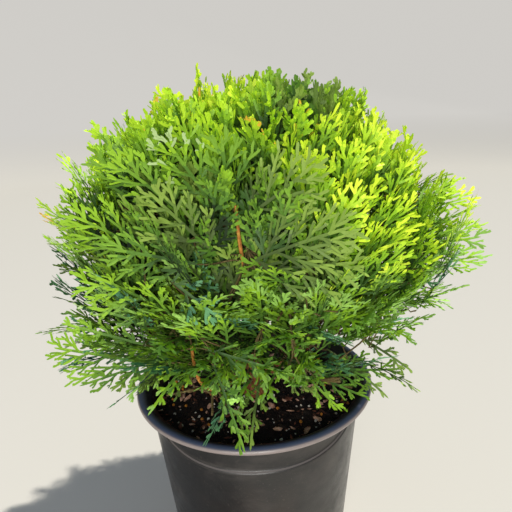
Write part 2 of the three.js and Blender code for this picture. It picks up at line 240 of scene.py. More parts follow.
def rangeNode(tree, source, fromLow, fromHigh, toLow=0, toHigh=1):
    limits = {"From Min": fromLow, "From Max": fromHigh, "To Min": toLow, "To Max": toHigh}
    return addNode(tree, "MapRange", {"Value": source, **limits}, "Result")


def rampNode(tree, source, stops):
    node = tree.nodes.new("ShaderNodeValToRGB")
    ramp = node.color_ramp
    while len(ramp.elements) < len(stops):
        ramp.elements.new(0.5)
    for element, (place, colour) in zip(ramp.elements, stops):
        element.position = place
        element.color = colour
    tree.links.new(source, node.inputs["Fac"])
    return node.outputs["Color"]


def mixNode(tree, share, first, second):
    # first and second are colours or sockets
    return addNode(tree, "Mix", {0: share, 6: first, 7: second}, 2, data_type="RGBA")


def mathNode(tree, kind, first, second):
    return addNode(tree, "Math", {0: first, 1: second}, operation=kind)


def timesNode(tree, first, second):
    return mathNode(tree, "MULTIPLY", first, second)


def distanceNode(tree, axes):
    # how far a point is from the frame's origin, along the axes that are 1, in millimetres
    place = addNode(tree, "TexCoord", {}, "Object")
    kept = addNode(tree, "VectorMath", {0: place, 1: axes}, operation="MULTIPLY")
    return timesNode(tree, addNode(tree, "VectorMath", {0: kept}, "Value", operation="LENGTH"), 1 / mm)


def addBump(tree, shader, source, height, strength=1.0):
    # height in millimetres
    bump = addNode(tree, "Bump", {"Distance": height * mm, "Strength": strength, "Height": source})
    tree.links.new(bump, shader.inputs["Normal"])


# Pot: a round plastic nursery pot with a rolled rim and three long grip recesses under it

pot = {
    "height": 177,
    "rimRadius": 115,
    "rimDepth": 6,
    "wallTopRadius": 103.5,
    "footRadius": 87,
    "wall": 1.8,
    "floor": 2.4,
    "footBevel": 2.5,
    "recesses": 3,
    "recessTurn": -90,
    "recessDepth": 2,
    "recessHeight": 29,
    "recessCusp": 2.5,
    "recessRoundness": 2.6,
    "ledgeRise": 1.5,
    "ledgeRows": (21, 22),  # which rows of the profile are the recess's lower edge, painted lighter as a highlight
    "sides": 240,
    "plastic": paint(19, 17, 17),
    # painted reflection: the reddish brown of the wall's patches of warm reflected light
    "paintedWarmReflection": paint(34, 26, 22),
    "dust": paint(112, 102, 97),
    # painted highlight on the recess's lower edge, which faces up to the light
    "paintedLedgeHighlight": paint(90, 84, 81),
    # the rim's lower half, pinkish: dust and a painted highlight
    "dustyRimHighlight": paint(146, 134, 131),
    # painted reflection of the sky on the rim's upper half
    "paintedRimReflection": paint(60, 70, 98),
    "gloss": (0.28, 0.48),
    "filmHeight": 70,
    "smearDust": 0.22,  # how thick the dust is in its smears and specks, and the dust and painted highlight on the rim's lower half
    "speckDust": 0.3,
    "dustyRimHighlightShare": 0.85,
}
rimBottom = pot["height"] - pot["rimDepth"]
innerTop = rimBottom - 3  # where the inside wall turns out to the rim
innerTopRadius = pot["wallTopRadius"] - pot["recessDepth"] - pot["wall"]


def recessShare(azimuth):
    # 0 at a grip recess's ends, 1 at its middle
    place = ((azimuth - pot["recessTurn"]) * pot["recesses"] / 360 + 100.5) % 1
    return math.sqrt(max(0, 1 - abs(place * 2 - 1) ** pot["recessRoundness"]))


def wallRadius(z):
    return lerp(pot["footRadius"], pot["wallTopRadius"], z / rimBottom)


def potProfile(azimuth):
    # (radius, z) from the middle of the underside, up the wall, over the rim and down inside
    share = recessShare(azimuth)
    depth = pot["recessDepth"] * min(1, 2.5 * share)
    low = rimBottom - lerp(pot["recessCusp"], pot["recessHeight"], share)
    foot, rim, bevel = pot["footRadius"], pot["rimRadius"], pot["footBevel"]
    profile = [(0, 0), (40, 0), (foot - bevel - 1, 0), (foot - bevel, 0), (foot - 0.8, 0.7), (foot, bevel)]
    profile += [(wallRadius(z), z) for z in np.linspace(bevel + 2, low - 2.5, 14)]
    profile += [(wallRadius(low) - 0.1, low - 0.5), (wallRadius(low) - 0.5 * min(1, depth), low)]
    rise = pot["ledgeRise"]
    profile += [(wallRadius(low + k * 2) - depth * k ** 0.6, low + k * rise) for k in (0.35, 0.7, 1)]
    recess = np.linspace(lerp(low + rise, rimBottom, 0.12), rimBottom - 0.9, 5)
    profile += [(wallRadius(z) - depth, z) for z in recess]
    profile += [(wallRadius(rimBottom) - depth + 0.9, rimBottom - 0.1)]
    profile += [(rim - 3.5, rimBottom), (rim - 1.6, rimBottom + 0.15)]
    # the rolled rim, a half round that falls away inside
    profile += [(rim - 0.7, rimBottom + 0.6), (rim - 0.15, rimBottom + 1.5), (rim, rimBottom + 2.5)]
    profile += [(rim - 0.3, rimBottom + 3.4), (rim - 1.1, rimBottom + 4.5), (rim - 2.4, pot["height"] - 0.6)]
    profile += [(rim - 3.7, pot["height"] - 0.1), (rim - 5, pot["height"]), (rim - 6.8, pot["height"] - 0.2)]
    profile += [(rim - 8.5, pot["height"] - 0.8), (rim - 10, pot["height"] - 2.4)]
    profile += [(innerTopRadius + 2.4, rimBottom + 1.2), (innerTopRadius + 1, rimBottom - 0.5)]
    profile += [(innerTopRadius, innerTop)]
    inside, floor = foot - pot["wall"], pot["floor"]
    profile += [(lerp(innerTopRadius, inside, k), lerp(innerTop, floor, k)) for k in (0.1, 0.3, 1)]
    profile += [(40, floor), (0, floor)]
    return profile


def makePotPlastic():
    material, tree, shader = newMaterial("potPlastic", pot["plastic"], 0.34, 0.55)
    # painted reflection: reddish brown shows in uneven patches over the wall, for the warm light that it
    # reflects where the light rakes it
    warmReflectionShare = rangeNode(tree, noiseNode(tree, 60, 2), 0.45, 0.72)
    # dust lies in soft smears on the wall, and as a film low down
    smears = rangeNode(tree, noiseNode(tree, 34, 6, 0.62, (1.6, 1.6, 0.7)), 0.52, 0.78)
    specks = rangeNode(tree, noiseNode(tree, 2.2, 3, 0.7), 0.60, 0.75)
    height = distanceNode(tree, (0, 0, 1))
    film = rangeNode(tree, height, pot["filmHeight"], 0, 0.08, 0.5)
    # the rim's lower half is pinkish, partly dust and partly a painted highlight, and its upper half has a
    # painted reflection of the sky
    rim, top = pot["rimRadius"], pot["height"]
    outside = rangeNode(tree, distanceNode(tree, (1, 1, 0)), rim - 6.5, rim - 3.5)
    aboveWall = rangeNode(tree, height, rimBottom - 0.4, rimBottom + 0.4)
    belowTop = rangeNode(tree, height, top - 0.8, top - 2.2)
    dustyRimHighlight = timesNode(tree, timesNode(tree, aboveWall, belowTop), outside)
    paintedRimReflection = timesNode(tree, rangeNode(tree, height, top - 2.2, top - 1, 0, 0.75), outside)
    thin = timesNode(tree, smears, pot["smearDust"])
    dust = mathNode(tree, "MAXIMUM", thin, timesNode(tree, film, smears))
    dust = mathNode(tree, "MAXIMUM", dust, timesNode(tree, specks, pot["speckDust"]))
    colour = mixNode(tree, warmReflectionShare, pot["plastic"], pot["paintedWarmReflection"])
    colour = mixNode(tree, dust, colour, pot["dust"])
    # the rim's dust and painted highlight, then its painted reflection of the sky
    colour = mixNode(tree, timesNode(tree, dustyRimHighlight, pot["dustyRimHighlightShare"]), colour, pot["dustyRimHighlight"])
    colour = mixNode(tree, paintedRimReflection, colour, pot["paintedRimReflection"])
    tree.links.new(colour, shader.inputs["Base Color"])
    gloss = rangeNode(tree, noiseNode(tree, 18, 5, 0.6), 0.35, 0.7, *pot["gloss"])
    rough = mathNode(tree, "ADD", gloss, timesNode(tree, dust, 0.5))
    tree.links.new(rough, shader.inputs["Roughness"])
    # moulding ripple and fine scuffs
    ripple = noiseNode(tree, 26, 2, 0.4)
    scuffs = noiseNode(tree, 1.4, 5, 0.7, (3, 3, 0.6))
    relief = mathNode(tree, "ADD", timesNode(tree, ripple, 0.7), timesNode(tree, scuffs, 0.1))
    addBump(tree, shader, relief, 1.1, 0.5)
    shader.inputs["Coat Weight"].default_value = 0.15
    shader.inputs["Coat Roughness"].default_value = 0.22
    return material


def makePot():
    azimuths = np.arange(pot["sides"]) * 360 / pot["sides"]
    rows = np.array([potProfile(azimuth) for azimuth in azimuths])  # sides, profile points, 2
    turn = np.radians(azimuths)[:, None]
    corners = np.stack([rows[..., 0] * np.cos(turn), rows[..., 0] * np.sin(turn), rows[..., 1]], axis=2)
    corners = corners.transpose(1, 0, 2)  # profile points, sides
    faces = gridFaces(len(corners), pot["sides"])
    # the recess's lower edge gets a lighter material, a painted highlight
    onLedge = np.isin(np.arange(len(faces)) // pot["sides"], pot["ledgeRows"])
    paintedLedgeHighlight, tree, shader = newMaterial("paintedLedgeHighlight", pot["paintedLedgeHighlight"], 0.5)
    piece = makeMesh("potShell", corners.reshape(-1, 3), faces, [makePotPlastic(), paintedLedgeHighlight], onLedge)
    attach(piece, "root")
    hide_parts("pot")


makePot()
print("pot made")


# Soil: dark lumpy compost with bark chips, white grit and feed prills

soil = {
    "top": 157,
    "slope": 3,  # how far it falls, from flatRadius outwards over slopeRun
    "flatRadius": 26,
    "slopeRun": 70,
    "lump": 2.6,
    "lumpSizes": (17, 5),
    "rings": 70,
    "sides": 220,
    "strewRadii": (9, 96),  # loose bits lie between the trunk's foot and the wall
    "strewEdge": 99,
    "black": paint(20, 14, 11),
    "dark": paint(24, 17, 15),
    "brown": paint(46, 32, 26),
}

grains = {  # name: colour, darker colour, grain in millimetres, roughness, bump in millimetres
    "crumbDark": (soil["brown"], soil["dark"], 2, 0.95, 0.5),
    "crumbRed": (paint(96, 62, 44), soil["dark"], 2, 0.95, 0.5),
    # pale peach chips, partly their own colour and partly painted light for the sun on the soil
    "chipPale": (paint(232, 190, 164), paint(160, 112, 88), 3, 0.85, 0.5),
    "chipRed": (paint(136, 80, 60), paint(62, 38, 28), 3, 0.85, 0.5),
    "chipBrown": (soil["brown"], soil["dark"], 3, 0.88, 0.5),
    "gritWhite": (paint(222, 218, 208), paint(190, 180, 165), 1, 0.8, 0.3),
    "prillAmber": (paint(205, 140, 52), paint(170, 100, 30), 1.2, 0.35, 0.1),
}

looseBits = {  # width and height are shares of the length; rise is how far a bit stands out
    "soilCrumbs": {
        "count": 4200, "length": (0.7, 2.4), "width": (0.6, 1), "height": (0.5, 0.9),
        "ragged": 0.5, "rise": 0.4, "rows": 3, "columns": 5, "smooth": False,
        "grains": ["crumbDark", "crumbDark", "crumbRed"],
    },
    "barkChips": {
        "count": 400, "length": (3.5, 12), "width": (0.25, 0.6), "height": (0.1, 0.3),
        "ragged": 0.55, "rise": 0.7, "rows": 4, "columns": 7, "smooth": False,
        "grains": ["chipPale", "chipPale", "chipRed", "chipBrown", "chipRed"],
    },
    "soilGrit": {
        "count": 190, "length": (1.4, 3.4), "width": (0.7, 1), "height": (0.6, 1),
        "ragged": 0.35, "rise": 0.6, "rows": 4, "columns": 7, "smooth": True,
        "grains": ["gritWhite"],
    },
    "feedPrills": {
        "count": 40, "length": (3, 3), "width": (1, 1), "height": (1, 1),
        "ragged": 0, "rise": 0.7, "rows": 6, "columns": 9, "smooth": True,
        "grains": ["prillAmber"],
    },
}


def soilRadius(z):
    share = (z - pot["floor"]) / (innerTop - pot["floor"])
    return lerp(pot["footRadius"] - pot["wall"], innerTopRadius, share) - 0.4


def soilHeight(x, y):
    away = math.hypot(x, y)
    level = soil["top"] - soil["slope"] * clamp((away - soil["flatRadius"]) / soil["slopeRun"], 0, 1) ** 1.4
    large, small = soil["lumpSizes"]
    coarse = noise.noise((x / large, y / large, 3.1)) * soil["lump"]
    fine = noise.noise((x / small, y / small, 8.7)) * soil["lump"] * 0.5
    return level + coarse + fine


def makeSoil():
    edge = soilRadius(soil["top"] - soil["slope"])
    sides, corners = soil["sides"], []
    for ring in range(soil["rings"]):
        radius = edge * (ring + 0.001) / (soil["rings"] - 1)
        corners += [(x, y, soilHeight(x, y)) for x, y, z in circle(radius, 0, sides)]
    middle, bottom = 120, pot["floor"] + 0.3
    for radius, z in ((soilRadius(middle), middle), (soilRadius(bottom), bottom), (0.01, bottom)):
        corners += circle(radius, z, sides)
    material, tree, shader = newMaterial("potSoil", soil["dark"], 0.92, 0.25)
    clods = rangeNode(tree, noiseNode(tree, 6, 5, 0.65), 0.35, 0.72)
    tree.links.new(rampNode(tree, clods, [
        (0.0, soil["black"]), (0.5, soil["dark"]), (1.0, soil["brown"]),
    ]), shader.inputs["Base Color"])
    addBump(tree, shader, noiseNode(tree, 2.4, 6, 0.7), 2.2)
    faces = gridFaces(soil["rings"] + 3, sides)
    piece = makeMesh("soilBed", corners, faces, [material])
    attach(piece, "root")
    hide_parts("soil")


def pebble(rows, columns):
    # a small closed round, as corners about the origin and triangles
    corners = [(0, 0, -1)]
    for row in range(1, rows):
        tilt = math.pi * (row / rows - 0.5)
        for column in range(columns):
            turn = 2 * math.pi * (column + 0.5 * (row % 2)) / columns
            corners.append((math.cos(tilt) * math.cos(turn), math.cos(tilt) * math.sin(turn), math.sin(tilt)))
    corners.append((0, 0, 1))
    faces = []
    for column in range(columns):
        after = (column + 1) % columns
        faces.append((0, 1 + after, 1 + column))
        last = 1 + (rows - 2) * columns
        faces.append((last + column, last + after, len(corners) - 1))
        for row in range(rows - 2):
            a, b = 1 + row * columns, 1 + (row + 1) * columns
            faces += [(a + column, a + after, b + after), (a + column, b + after, b + column)]
    return np.array(corners), np.array(faces)


def strew(name, bit, materials, random):
    # ragged pebbles of one kind, strewn over the soil and sunk into it a little
    shape, faces = pebble(bit["rows"], bit["columns"])
    nearest, furthest = soil["strewRadii"]
    parts, tints = [], []
    for i in range(bit["count"]):
        radius = furthest * math.sqrt(random.random())
        turn = random.random() * 2 * math.pi
        x, y = radius * math.cos(turn), radius * math.sin(turn)
        if math.hypot(x, y) < nearest:
            continue
        long = lerp(*bit["length"], random.random() ** 2.2) / 2  # most are small
        scale = np.array((long, long * random.uniform(*bit["width"]), long * random.uniform(*bit["height"])))
        corners = shape * (1 + bit["ragged"] * (random.random(len(shape))[:, None] - 0.5)) * scale
        roll = Matrix.Rotation(random.uniform(-0.5, 0.5), 3, "X")
        pitch = Matrix.Rotation(random.uniform(-0.4, 0.4), 3, "Y")
        spin = np.array(Matrix.Rotation(random.random() * 6.28, 3, "Z") @ (roll @ pitch))
        corners = corners @ spin.T + (x, y, soilHeight(x, y) + scale[2] * bit["rise"])
        away = np.hypot(corners[:, 0], corners[:, 1]).max()
        if away > soil["strewEdge"]:
            corners[:, :2] *= (soil["strewEdge"] - 0.5) / away
        parts.append((corners, faces))
        tints.append(np.full(len(faces), random.integers(len(materials))))
    corners, allFaces = joined(parts)
    piece = makeMesh(name, corners, allFaces, materials, np.concatenate(tints), bit["smooth"])
    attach(piece, "root")


def grainMaterial(name, colour, dark, grain, roughness, bump):
    material, tree, shader = newMaterial(name, colour, roughness, 0.3)
    shade = rangeNode(tree, noiseNode(tree, grain, 5, 0.65), 0.35, 0.68)
    tree.links.new(mixNode(tree, shade, dark, colour), shader.inputs["Base Color"])
    addBump(tree, shader, noiseNode(tree, grain * 0.5, 4, 0.6), bump)
    return material


def makeLooseBits():
    random = np.random.default_rng(seed + 7)
    materials = {name: grainMaterial(name, *looks) for name, looks in grains.items()}
    for name, bit in looseBits.items():
        strew(name, bit, [materials[grain] for grain in bit["grains"]], random)


makeSoil()
makeLooseBits()
print("soil made")


# Crown: where the masses lie and where every spray's tip goes, by the rule that grew the solids

crown = {
    "centre": np.array((8.0, 0.0, 331.0)),
    "width": 171,
    "rise": 131,
    "drop": 140,
    "roundness": 2,
    "skirtFullness": 3,
    "swells": [  # azimuth, elevation, spread in degrees, share of the reach
        (-22, 4, 20, 0.09),
        (-15, 27, 18, -0.07),
        (200, 12, 22, 0.05),
        (75, 62, 26, 0.04),
        (-90, 0, 34, -0.04),
        (-112, 0, 15, -0.14),
        (-76, -13, 12, -0.12),
    ],
    "rings": [  # name, count, elevation, turn
        ("crown_upper", 5, 47, -62),
        ("crown_middle", 8, 12, -101),
        ("crown_lower", 7, -24, -78),
        ("skirt", 5, -56, -126),
    ],
    "boughReach": 0.38,
    "stemReach": 0.76,
    "stemLift": 9,
    "skirtBough": (50, 194),
    "skirtStem": (106, 216),
}

tipRule = {
    "sprays": 162,
    "skirtSprays": 20,
    "skirtHeights": (186, 240),
    "skirtReaches": (112, 168),
    "lowest": -42,
    "scatter": 0.1,
    "depth": 0.13,
    "standOut": 0.04,
    "leaders": [
        (-33, -6, 468), (-6, -4, 463), (60, 42, 459), (112, 18, 441), (190, -34, 343),
        (200, -44, 322), (172, -46, 262), (-170, -26, 361), (-186, -34, 250), (-172, -52, 222),
        (-127, -62, 189), (-9, -124, 184), (120, -62, 184), (140, -58, 204),
    ],
}

def patches(direction, listed):
    # the sum of soft round patches on the crown, in one direction
    total = 0
    for azimuth, elevation, spread, change in listed:
        away = math.degrees(math.acos(clamp(float(direction @ aim(azimuth, elevation)), -1, 1))) / spread
        total += change * math.exp(-away * away)
    return total


def fromCentre(place):
    return unit(place - crown["centre"])


def crownReach(direction):
    upright, fullness = crown["rise"], crown["roundness"]
    if direction[2] <= 0:
        upright, fullness = crown["drop"], crown["skirtFullness"]
    level = math.hypot(direction[0], direction[1]) / crown["width"]
    reach = (level ** fullness + abs(direction[2] / upright) ** fullness) ** (-1 / fullness)
    return reach * (1 + patches(direction, crown["swells"]))


def crownPoint(direction, share):
    return crown["centre"] + direction * share * crownReach(direction)


def skirtPoint(azimuth, reach, height):
    return aim(azimuth, 0) * reach + (crown["centre"][0], 0, height)


trunk = {
    "foot": np.array((0, 0, soil["top"] + 0.3)),
    "tip": np.array((9.0, 3.0, 383.0)),
    "footRadius": 7,
    "tipRadius": 2.6,
    "flare": 6,
    "flareHeight": 9,
    "sides": 60,
    "steps": 220,
    "boughRadius": 3.2,
    "boughTipRadius": 2,
    "lowestBough": 12,
    "boughSpacing": 6.9,
    "boughSides": 14,
    "boughSteps": 44,
    "relief": 0.09,  # how deep the bark is, as a share of the radius
    "boughRelief": 0.08,
}
trunkHeight = trunk["tip"][2] - trunk["foot"][2]


def trunkPath(steps):
    return bezier([
        trunk["foot"],
        trunk["foot"] + (0, 0, trunkHeight * 0.35),
        trunk["tip"] + (-2, -5, -trunkHeight * 0.35),
        trunk["tip"],
    ], steps)


def trunkRadius(share):
    flare = trunk["flare"] * math.exp(-share * trunkHeight / trunk["flareHeight"])
    return lerp(trunk["footRadius"], trunk["tipRadius"], share) + flare


def planMasses():
    top = aim(0, 90)
    masses = [{"name": "crown_top", "direction": top, "boughTip": trunk["tip"],
               "stemTip": crownPoint(top, crown["stemReach"])}]
    upwards, lift = crown["rings"][::-1], crown["stemLift"]
    for ring in crown["rings"]:
        name, count, elevation, turn = ring
        below = sum(other[1] for other in upwards[:upwards.index(ring)])
        for i in range(count):
            azimuth = turn + i * 360 / count
            order = 3 if count % 3 else 5
            mass = {"name": f"{name}_{i + 1}", "direction": aim(azimuth, elevation)}
            mass["rootHeight"] = trunk["lowestBough"] + trunk["boughSpacing"] * (below + (i * order) % count)
            if name == "skirt":
                mass["boughTip"] = skirtPoint(azimuth, *crown["skirtBough"])
                mass["stemTip"] = skirtPoint(azimuth, *crown["skirtStem"])
            else:
                mass["boughTip"] = crownPoint(aim(azimuth, elevation - lift), crown["boughReach"])
                mass["stemTip"] = crownPoint(aim(azimuth, elevation + lift / 2), crown["stemReach"])
            masses.append(mass)
    return masses


def boughPath(mass, trunkPoints, steps):
    tip = mass["boughTip"]
    share = mass["rootHeight"] / trunkHeight
    root = trunkPoints[round(share * (len(trunkPoints) - 1))]
    span = np.linalg.norm(tip - root)
    out = unit(np.array((tip[0] - root[0], tip[1] - root[1], 0)))
    start = unit(out + (0, 0, clamp((tip[2] - root[2]) / span, 0.1, 0.8)))
    end = unit(mass["stemTip"] - tip)
    return bezier([root, root + start * span * 0.35, tip - end * span * 0.35, tip], steps)


def roundTips(count, first, lowest):
    # tips spread evenly over the crown by the golden angle, then scattered a little
    random = first if callable(first) else makeRandom(first)
    tips = []
    for i in range(count):
        height = lerp(1, math.sin(math.radians(lowest)), (i + 0.5) / count)
        level = math.sqrt(1 - height * height)
        scatter = [(random() - 0.5) * 2 * tipRule["scatter"] for axis in range(3)]
        direction = unit(np.array((
            level * math.cos(i * goldenAngle) + scatter[0],
            level * math.sin(i * goldenAngle) + scatter[1],
            height + scatter[2],
        )))
        share = 1 + tipRule["standOut"] - tipRule["depth"] * random()
        tips.append({"place": crownPoint(direction, share), "roll": random() * 2 - 1})
    return tips


def solidTips():
    # the very tips that the solids' blades grow to
    random = makeRandom(seed)
    tips = roundTips(tipRule["sprays"], random, tipRule["lowest"])
    for i in range(tipRule["skirtSprays"]):
        reach = lerp(*tipRule["skirtReaches"], random())
        height = lerp(*tipRule["skirtHeights"], random())
        level = aim(i * 360 / tipRule["skirtSprays"] + random() * 12, 0) * reach
        tips.append({"place": level + (0, 0, height), "roll": random() * 2 - 1, "kind": "low"})
    leaders = [{"place": np.array(place, float), "roll": random() * 2 - 1, "kind": "leader"}
               for place in tipRule["leaders"]]
    return leaders + tips


masses = planMasses()
trunkPoints = trunkPath(trunk["steps"])
print("crown planned:", len(masses), "masses")


# Limbs: trunk and boughs with the bark's relief, and the green-barked twigs

def tube(path, radii, sides, relief=None):
    # a closed tube round a path; relief(angle, run) is a share of the radius
    path = np.asarray(path, float)
    ahead = np.gradient(path, axis=0)
    ahead /= np.linalg.norm(ahead, axis=1)[:, None]
    reference = np.array((1.0, 0, 0)) if abs(ahead[0][2]) > 0.8 else np.array((0, 0, 1.0))
    side = np.cross(ahead, reference)
    side /= np.linalg.norm(side, axis=1)[:, None]
    other = np.cross(ahead, side)
    angles = np.arange(sides) * 2 * math.pi / sides
    radius = np.asarray(radii, float)[:, None] * np.ones(sides)
    if relief is not None:
        run = np.concatenate(([0], np.cumsum(np.linalg.norm(np.diff(path, axis=0), axis=1))))
        radius = radius * (1 + relief(angles[None, :], run[:, None]))
    cos, sin = np.cos(angles)[None, :, None], np.sin(angles)[None, :, None]
    rings = path[:, None, :] + radius[..., None] * (side[:, None, :] * cos + other[:, None, :] * sin)
    start, end = np.repeat(path[:1], sides, 0), np.repeat(path[-1:], sides, 0)
    return np.concatenate((start, rings.reshape(-1, 3), end)), gridFaces(len(path) + 2, sides)


def taperedTube(path, thick, thin, sides, relief=None):
    return tube(path, np.linspace(thick, thin, len(path)), sides, relief)


def barkRelief(depth, phase):
    # long flat strips that peel along the limb, broken by short cracks
    def relief(angle, run):
        wander = angle + 0.35 * np.sin(run / 23 + phase)
        ridges = np.abs(np.sin(4.5 * wander + phase + 0.8 * np.sin(run / 11)))
        fine = np.sin(11 * wander + run / 4 + phase) * np.sin(run / 2.6 + 3 * np.sin(angle * 2))
        return depth * (ridges - 0.6 + 0.35 * fine)

    return relief


barks = {  # name: old bark, young bark, grain and bump in millimetres
    "limbBark": (paint(128, 74, 44), paint(186, 126, 74), 2.2, 0.6),
    "stemBark": (paint(178, 112, 48), paint(212, 182, 78), 1.2, 0.2),
    "twigBark": (paint(92, 76, 44), paint(124, 122, 62), 1.2, 0.2),
}


def makeBark(name):
    old, young, grain, bump = barks[name]
    material, tree, shader = newMaterial(name, old, 0.8, 0.35)
    streaks = noiseNode(tree, grain, 6, 0.65, (1, 1, 5))
    stains = noiseNode(tree, 22, 3, 0.5)
    colour = rampNode(tree, rangeNode(tree, streaks, 0.3, 0.72), [
        (0.0, tuple(value * 0.25 for value in old[:3]) + (1,)), (0.45, old), (1.0, young),
    ])
    colour = mixNode(tree, rangeNode(tree, stains, 0.45, 0.75, 0, 0.6), colour, old)
    tree.links.new(colour, shader.inputs["Base Color"])
    tree.links.new(rangeNode(tree, streaks, 0.3, 0.7, 0.92, 0.6), shader.inputs["Roughness"])
    addBump(tree, shader, streaks, bump)
    return material


def makeLimbs():
    radii = [trunkRadius(share) for share in np.linspace(0, 1, len(trunkPoints))]
    parts = [tube(trunkPoints, radii, trunk["sides"], barkRelief(trunk["relief"], 0.4))]
    thick, thin, sides = trunk["boughRadius"], trunk["boughTipRadius"], trunk["boughSides"]
    for i, mass in enumerate(masses[1:]):
        path = boughPath(mass, trunkPoints, trunk["boughSteps"])
        parts.append(taperedTube(path, thick, thin, sides, barkRelief(trunk["boughRelief"], i * 1.7)))
    corners, faces = joined(parts)
    piece = makeMesh("trunkAndBoughs", corners, faces, [makeBark("limbBark")])
    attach(piece, "root")
    names = [mass["name"].replace("crown_", "bough_").replace("skirt", "bough_low") for mass in masses[1:]]
    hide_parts("trunk", *names)


makeLimbs()
print("trunk and boughs made")


# Foliage: flat sprays that branch three times, every branchlet a narrow strip in its own outline

strips = {  # shares of the length where a strip is measured, its width there, and its raised middle
    "axis": (
        np.linspace(0, 0.97, 12),
        np.array([0.7, 0.85, 1, 0.88, 1.02, 0.9, 1.04, 0.9, 1.02, 0.88, 1, 0.6]),
        0.34,
    ),
    "branch": (np.array([0, 0.2, 0.4, 0.58, 0.76, 0.93]), np.array([0.6, 1, 0.84, 1.04, 0.88, 0.66]), 0.3),
    "branchlet": (np.array([0, 0.45, 0.86]), np.array([0.85, 1.02, 0.84]), None),
    "lobe": (np.array([0, 0.7]), np.array([0.9, 0.92]), None),
}

# One strip in its spray's own plane. rootOut and tipOut are how far out it starts and ends, from 0 at
# the spray's root to 1 at its tips.
Strip = namedtuple("Strip", "x y angle length width bow lift twist rootOut tipOut")

sprayShapes = {
    "fan": {  # broad and flat, on the front and sides: fingers side by side
        "length": (60, 94), "branchApart": 9.2, "branchAngle": (40, 26), "reach": 0.6, "uneven": (0.7, 1.15),
        "branchletApart": 4.9, "branchletAngle": 29, "branchlet": (6.2, 16), "width": 2.1,
        "bend": (-0.08, 0.18), "cup": (-0.35, 0.3), "lift": 0.08, "twist": 0.3, "lobes": 0.6,
    },
    "frond": {  # the large ones set at the front, with long even fingers
        "branchApart": 9.4, "branchAngle": (42, 28), "reach": 0.6, "uneven": (0.85, 1.1),
        "branchletApart": 4.9, "branchletAngle": 27, "branchlet": (7.5, 18), "width": 2.1,
        "bend": (-0.06, 0.14), "cup": (-0.3, 0.2), "lift": 0.06, "twist": 0.25, "lobes": 0.35,
    },
    "tuft": {  # crowded upright fingers, on the top
        "length": (44, 70), "branchApart": 8.4, "branchAngle": (32, 20), "reach": 0.55,
        "uneven": (0.55, 1.15),
        "branchletApart": 4.6, "branchletAngle": 32, "branchlet": (4.8, 10.5), "width": 2.8,
        "bend": (-0.14, 0.14), "cup": (-0.8, 0.8), "lift": 0.25, "twist": 0.6, "lobes": 0.9,
    },
    "low": {  # long and level, thin and open
        "length": (56, 88), "branchApart": 9.8, "branchAngle": (38, 26), "reach": 0.4, "uneven": (0.5, 1.1),
        "branchletApart": 5.4, "branchletAngle": 32, "branchlet": (5.2, 13), "width": 2.05,
        "bend": (0, 0.14), "cup": (-0.3, 0.3), "lift": 0.12, "twist": 0.35, "lobes": 1.0,
    },
    "spire": {  # a slim upright leader
        "length": (52, 62), "branchApart": 4.0, "branchAngle": (24, 16), "reach": 0.2, "uneven": (0.7, 1.2),
        "branchletApart": 2.6, "branchletAngle": 32, "branchlet": (3.2, 5), "width": 2.9,
        "bend": (-0.05, 0.05), "cup": (-0.4, 0.4), "lift": 0.25, "twist": 0.6, "lobes": 0.4,
    },
    "inner": {  # thin, deep in the crown, and dark with painted shade
        "length": (54, 82), "branchApart": 8.0, "branchAngle": (44, 34), "reach": 0.46, "uneven": (0.7, 1.1),
        "branchletApart": 5.4, "branchletAngle": 36, "branchlet": (4, 9), "width": 2.3,
        "bend": (-0.1, 0.1), "cup": (-0.3, 0.3), "lift": 0.2, "twist": 0.4, "lobes": 0.0,
    },
}

tints = {  # from the shade to the sun; a spray runs through neighbouring tints towards its tips
    "innerShade": (34, 50, 28),
    "deepGreen": (60, 92, 38),
    "leafGreen": (86, 126, 42),
    "freshGreen": (114, 156, 46),
    "springGreen": (142, 186, 44),
    "limeGreen": (176, 214, 44),
    "sunTip": (212, 236, 58),
    "oliveShade": (76, 96, 46),
    "oliveGreen": (100, 126, 54),
    "oliveLight": (128, 156, 64),
    "blueGreen": (66, 116, 82),
    "blueLight": (104, 158, 108),
    "lightGreen": (146, 190, 88),
    # a pale painted glint on the tips of a few sprays
    "paintedGlint": (176, 202, 138),
    "orangeTip": (226, 186, 60),
}
tintIndex = {name: i for i, name in enumerate(tints)}
sunniest = tintIndex["sunTip"]


def leafMaterial(name, colour):
    material, tree, shader = newMaterial(name, paint(*colour), 0.5, 0.3)
    tree.links.new(rangeNode(tree, noiseNode(tree, 1.6, 3), 0.3, 0.7, 0.42, 0.66), shader.inputs["Roughness"])
    return material


leafMaterials = [leafMaterial(name, colour) for name, colour in tints.items()]


def stripCorners(table, shares, widths, rib):
    # table has a strip in each row
    x, y, angle, length, width, bow, lift, twist = table.T[:8, :, None]
    s = shares[None, :]
    ahead, aside = length * s, bow * length * s * s
    cos, sin = np.cos(angle), np.sin(angle)
    centreX = x + cos * ahead - sin * aside
    centreY = y + sin * ahead + cos * aside
    centreZ = lift * ahead
    half = width / 2 * widths[None, :]
    stepX, stepY, stepZ = -sin * half * np.cos(twist), cos * half * np.cos(twist), half * np.sin(twist)
    across = [np.stack([centreX + stepX, centreY + stepY, centreZ + stepZ], -1)]
    if rib is not None:
        across.append(np.stack([centreX, centreY, centreZ + rib * widths[None, :]], -1))
    across.append(np.stack([centreX - stepX, centreY - stepY, centreZ - stepZ], -1))
    body = np.stack(across, 2).reshape(len(table), -1, 3)
    tipX = x + cos * length - sin * bow * length
    tipY = y + sin * length + cos * bow * length
    return np.concatenate([body, np.stack([tipX, tipY, lift * length], -1)], 1)


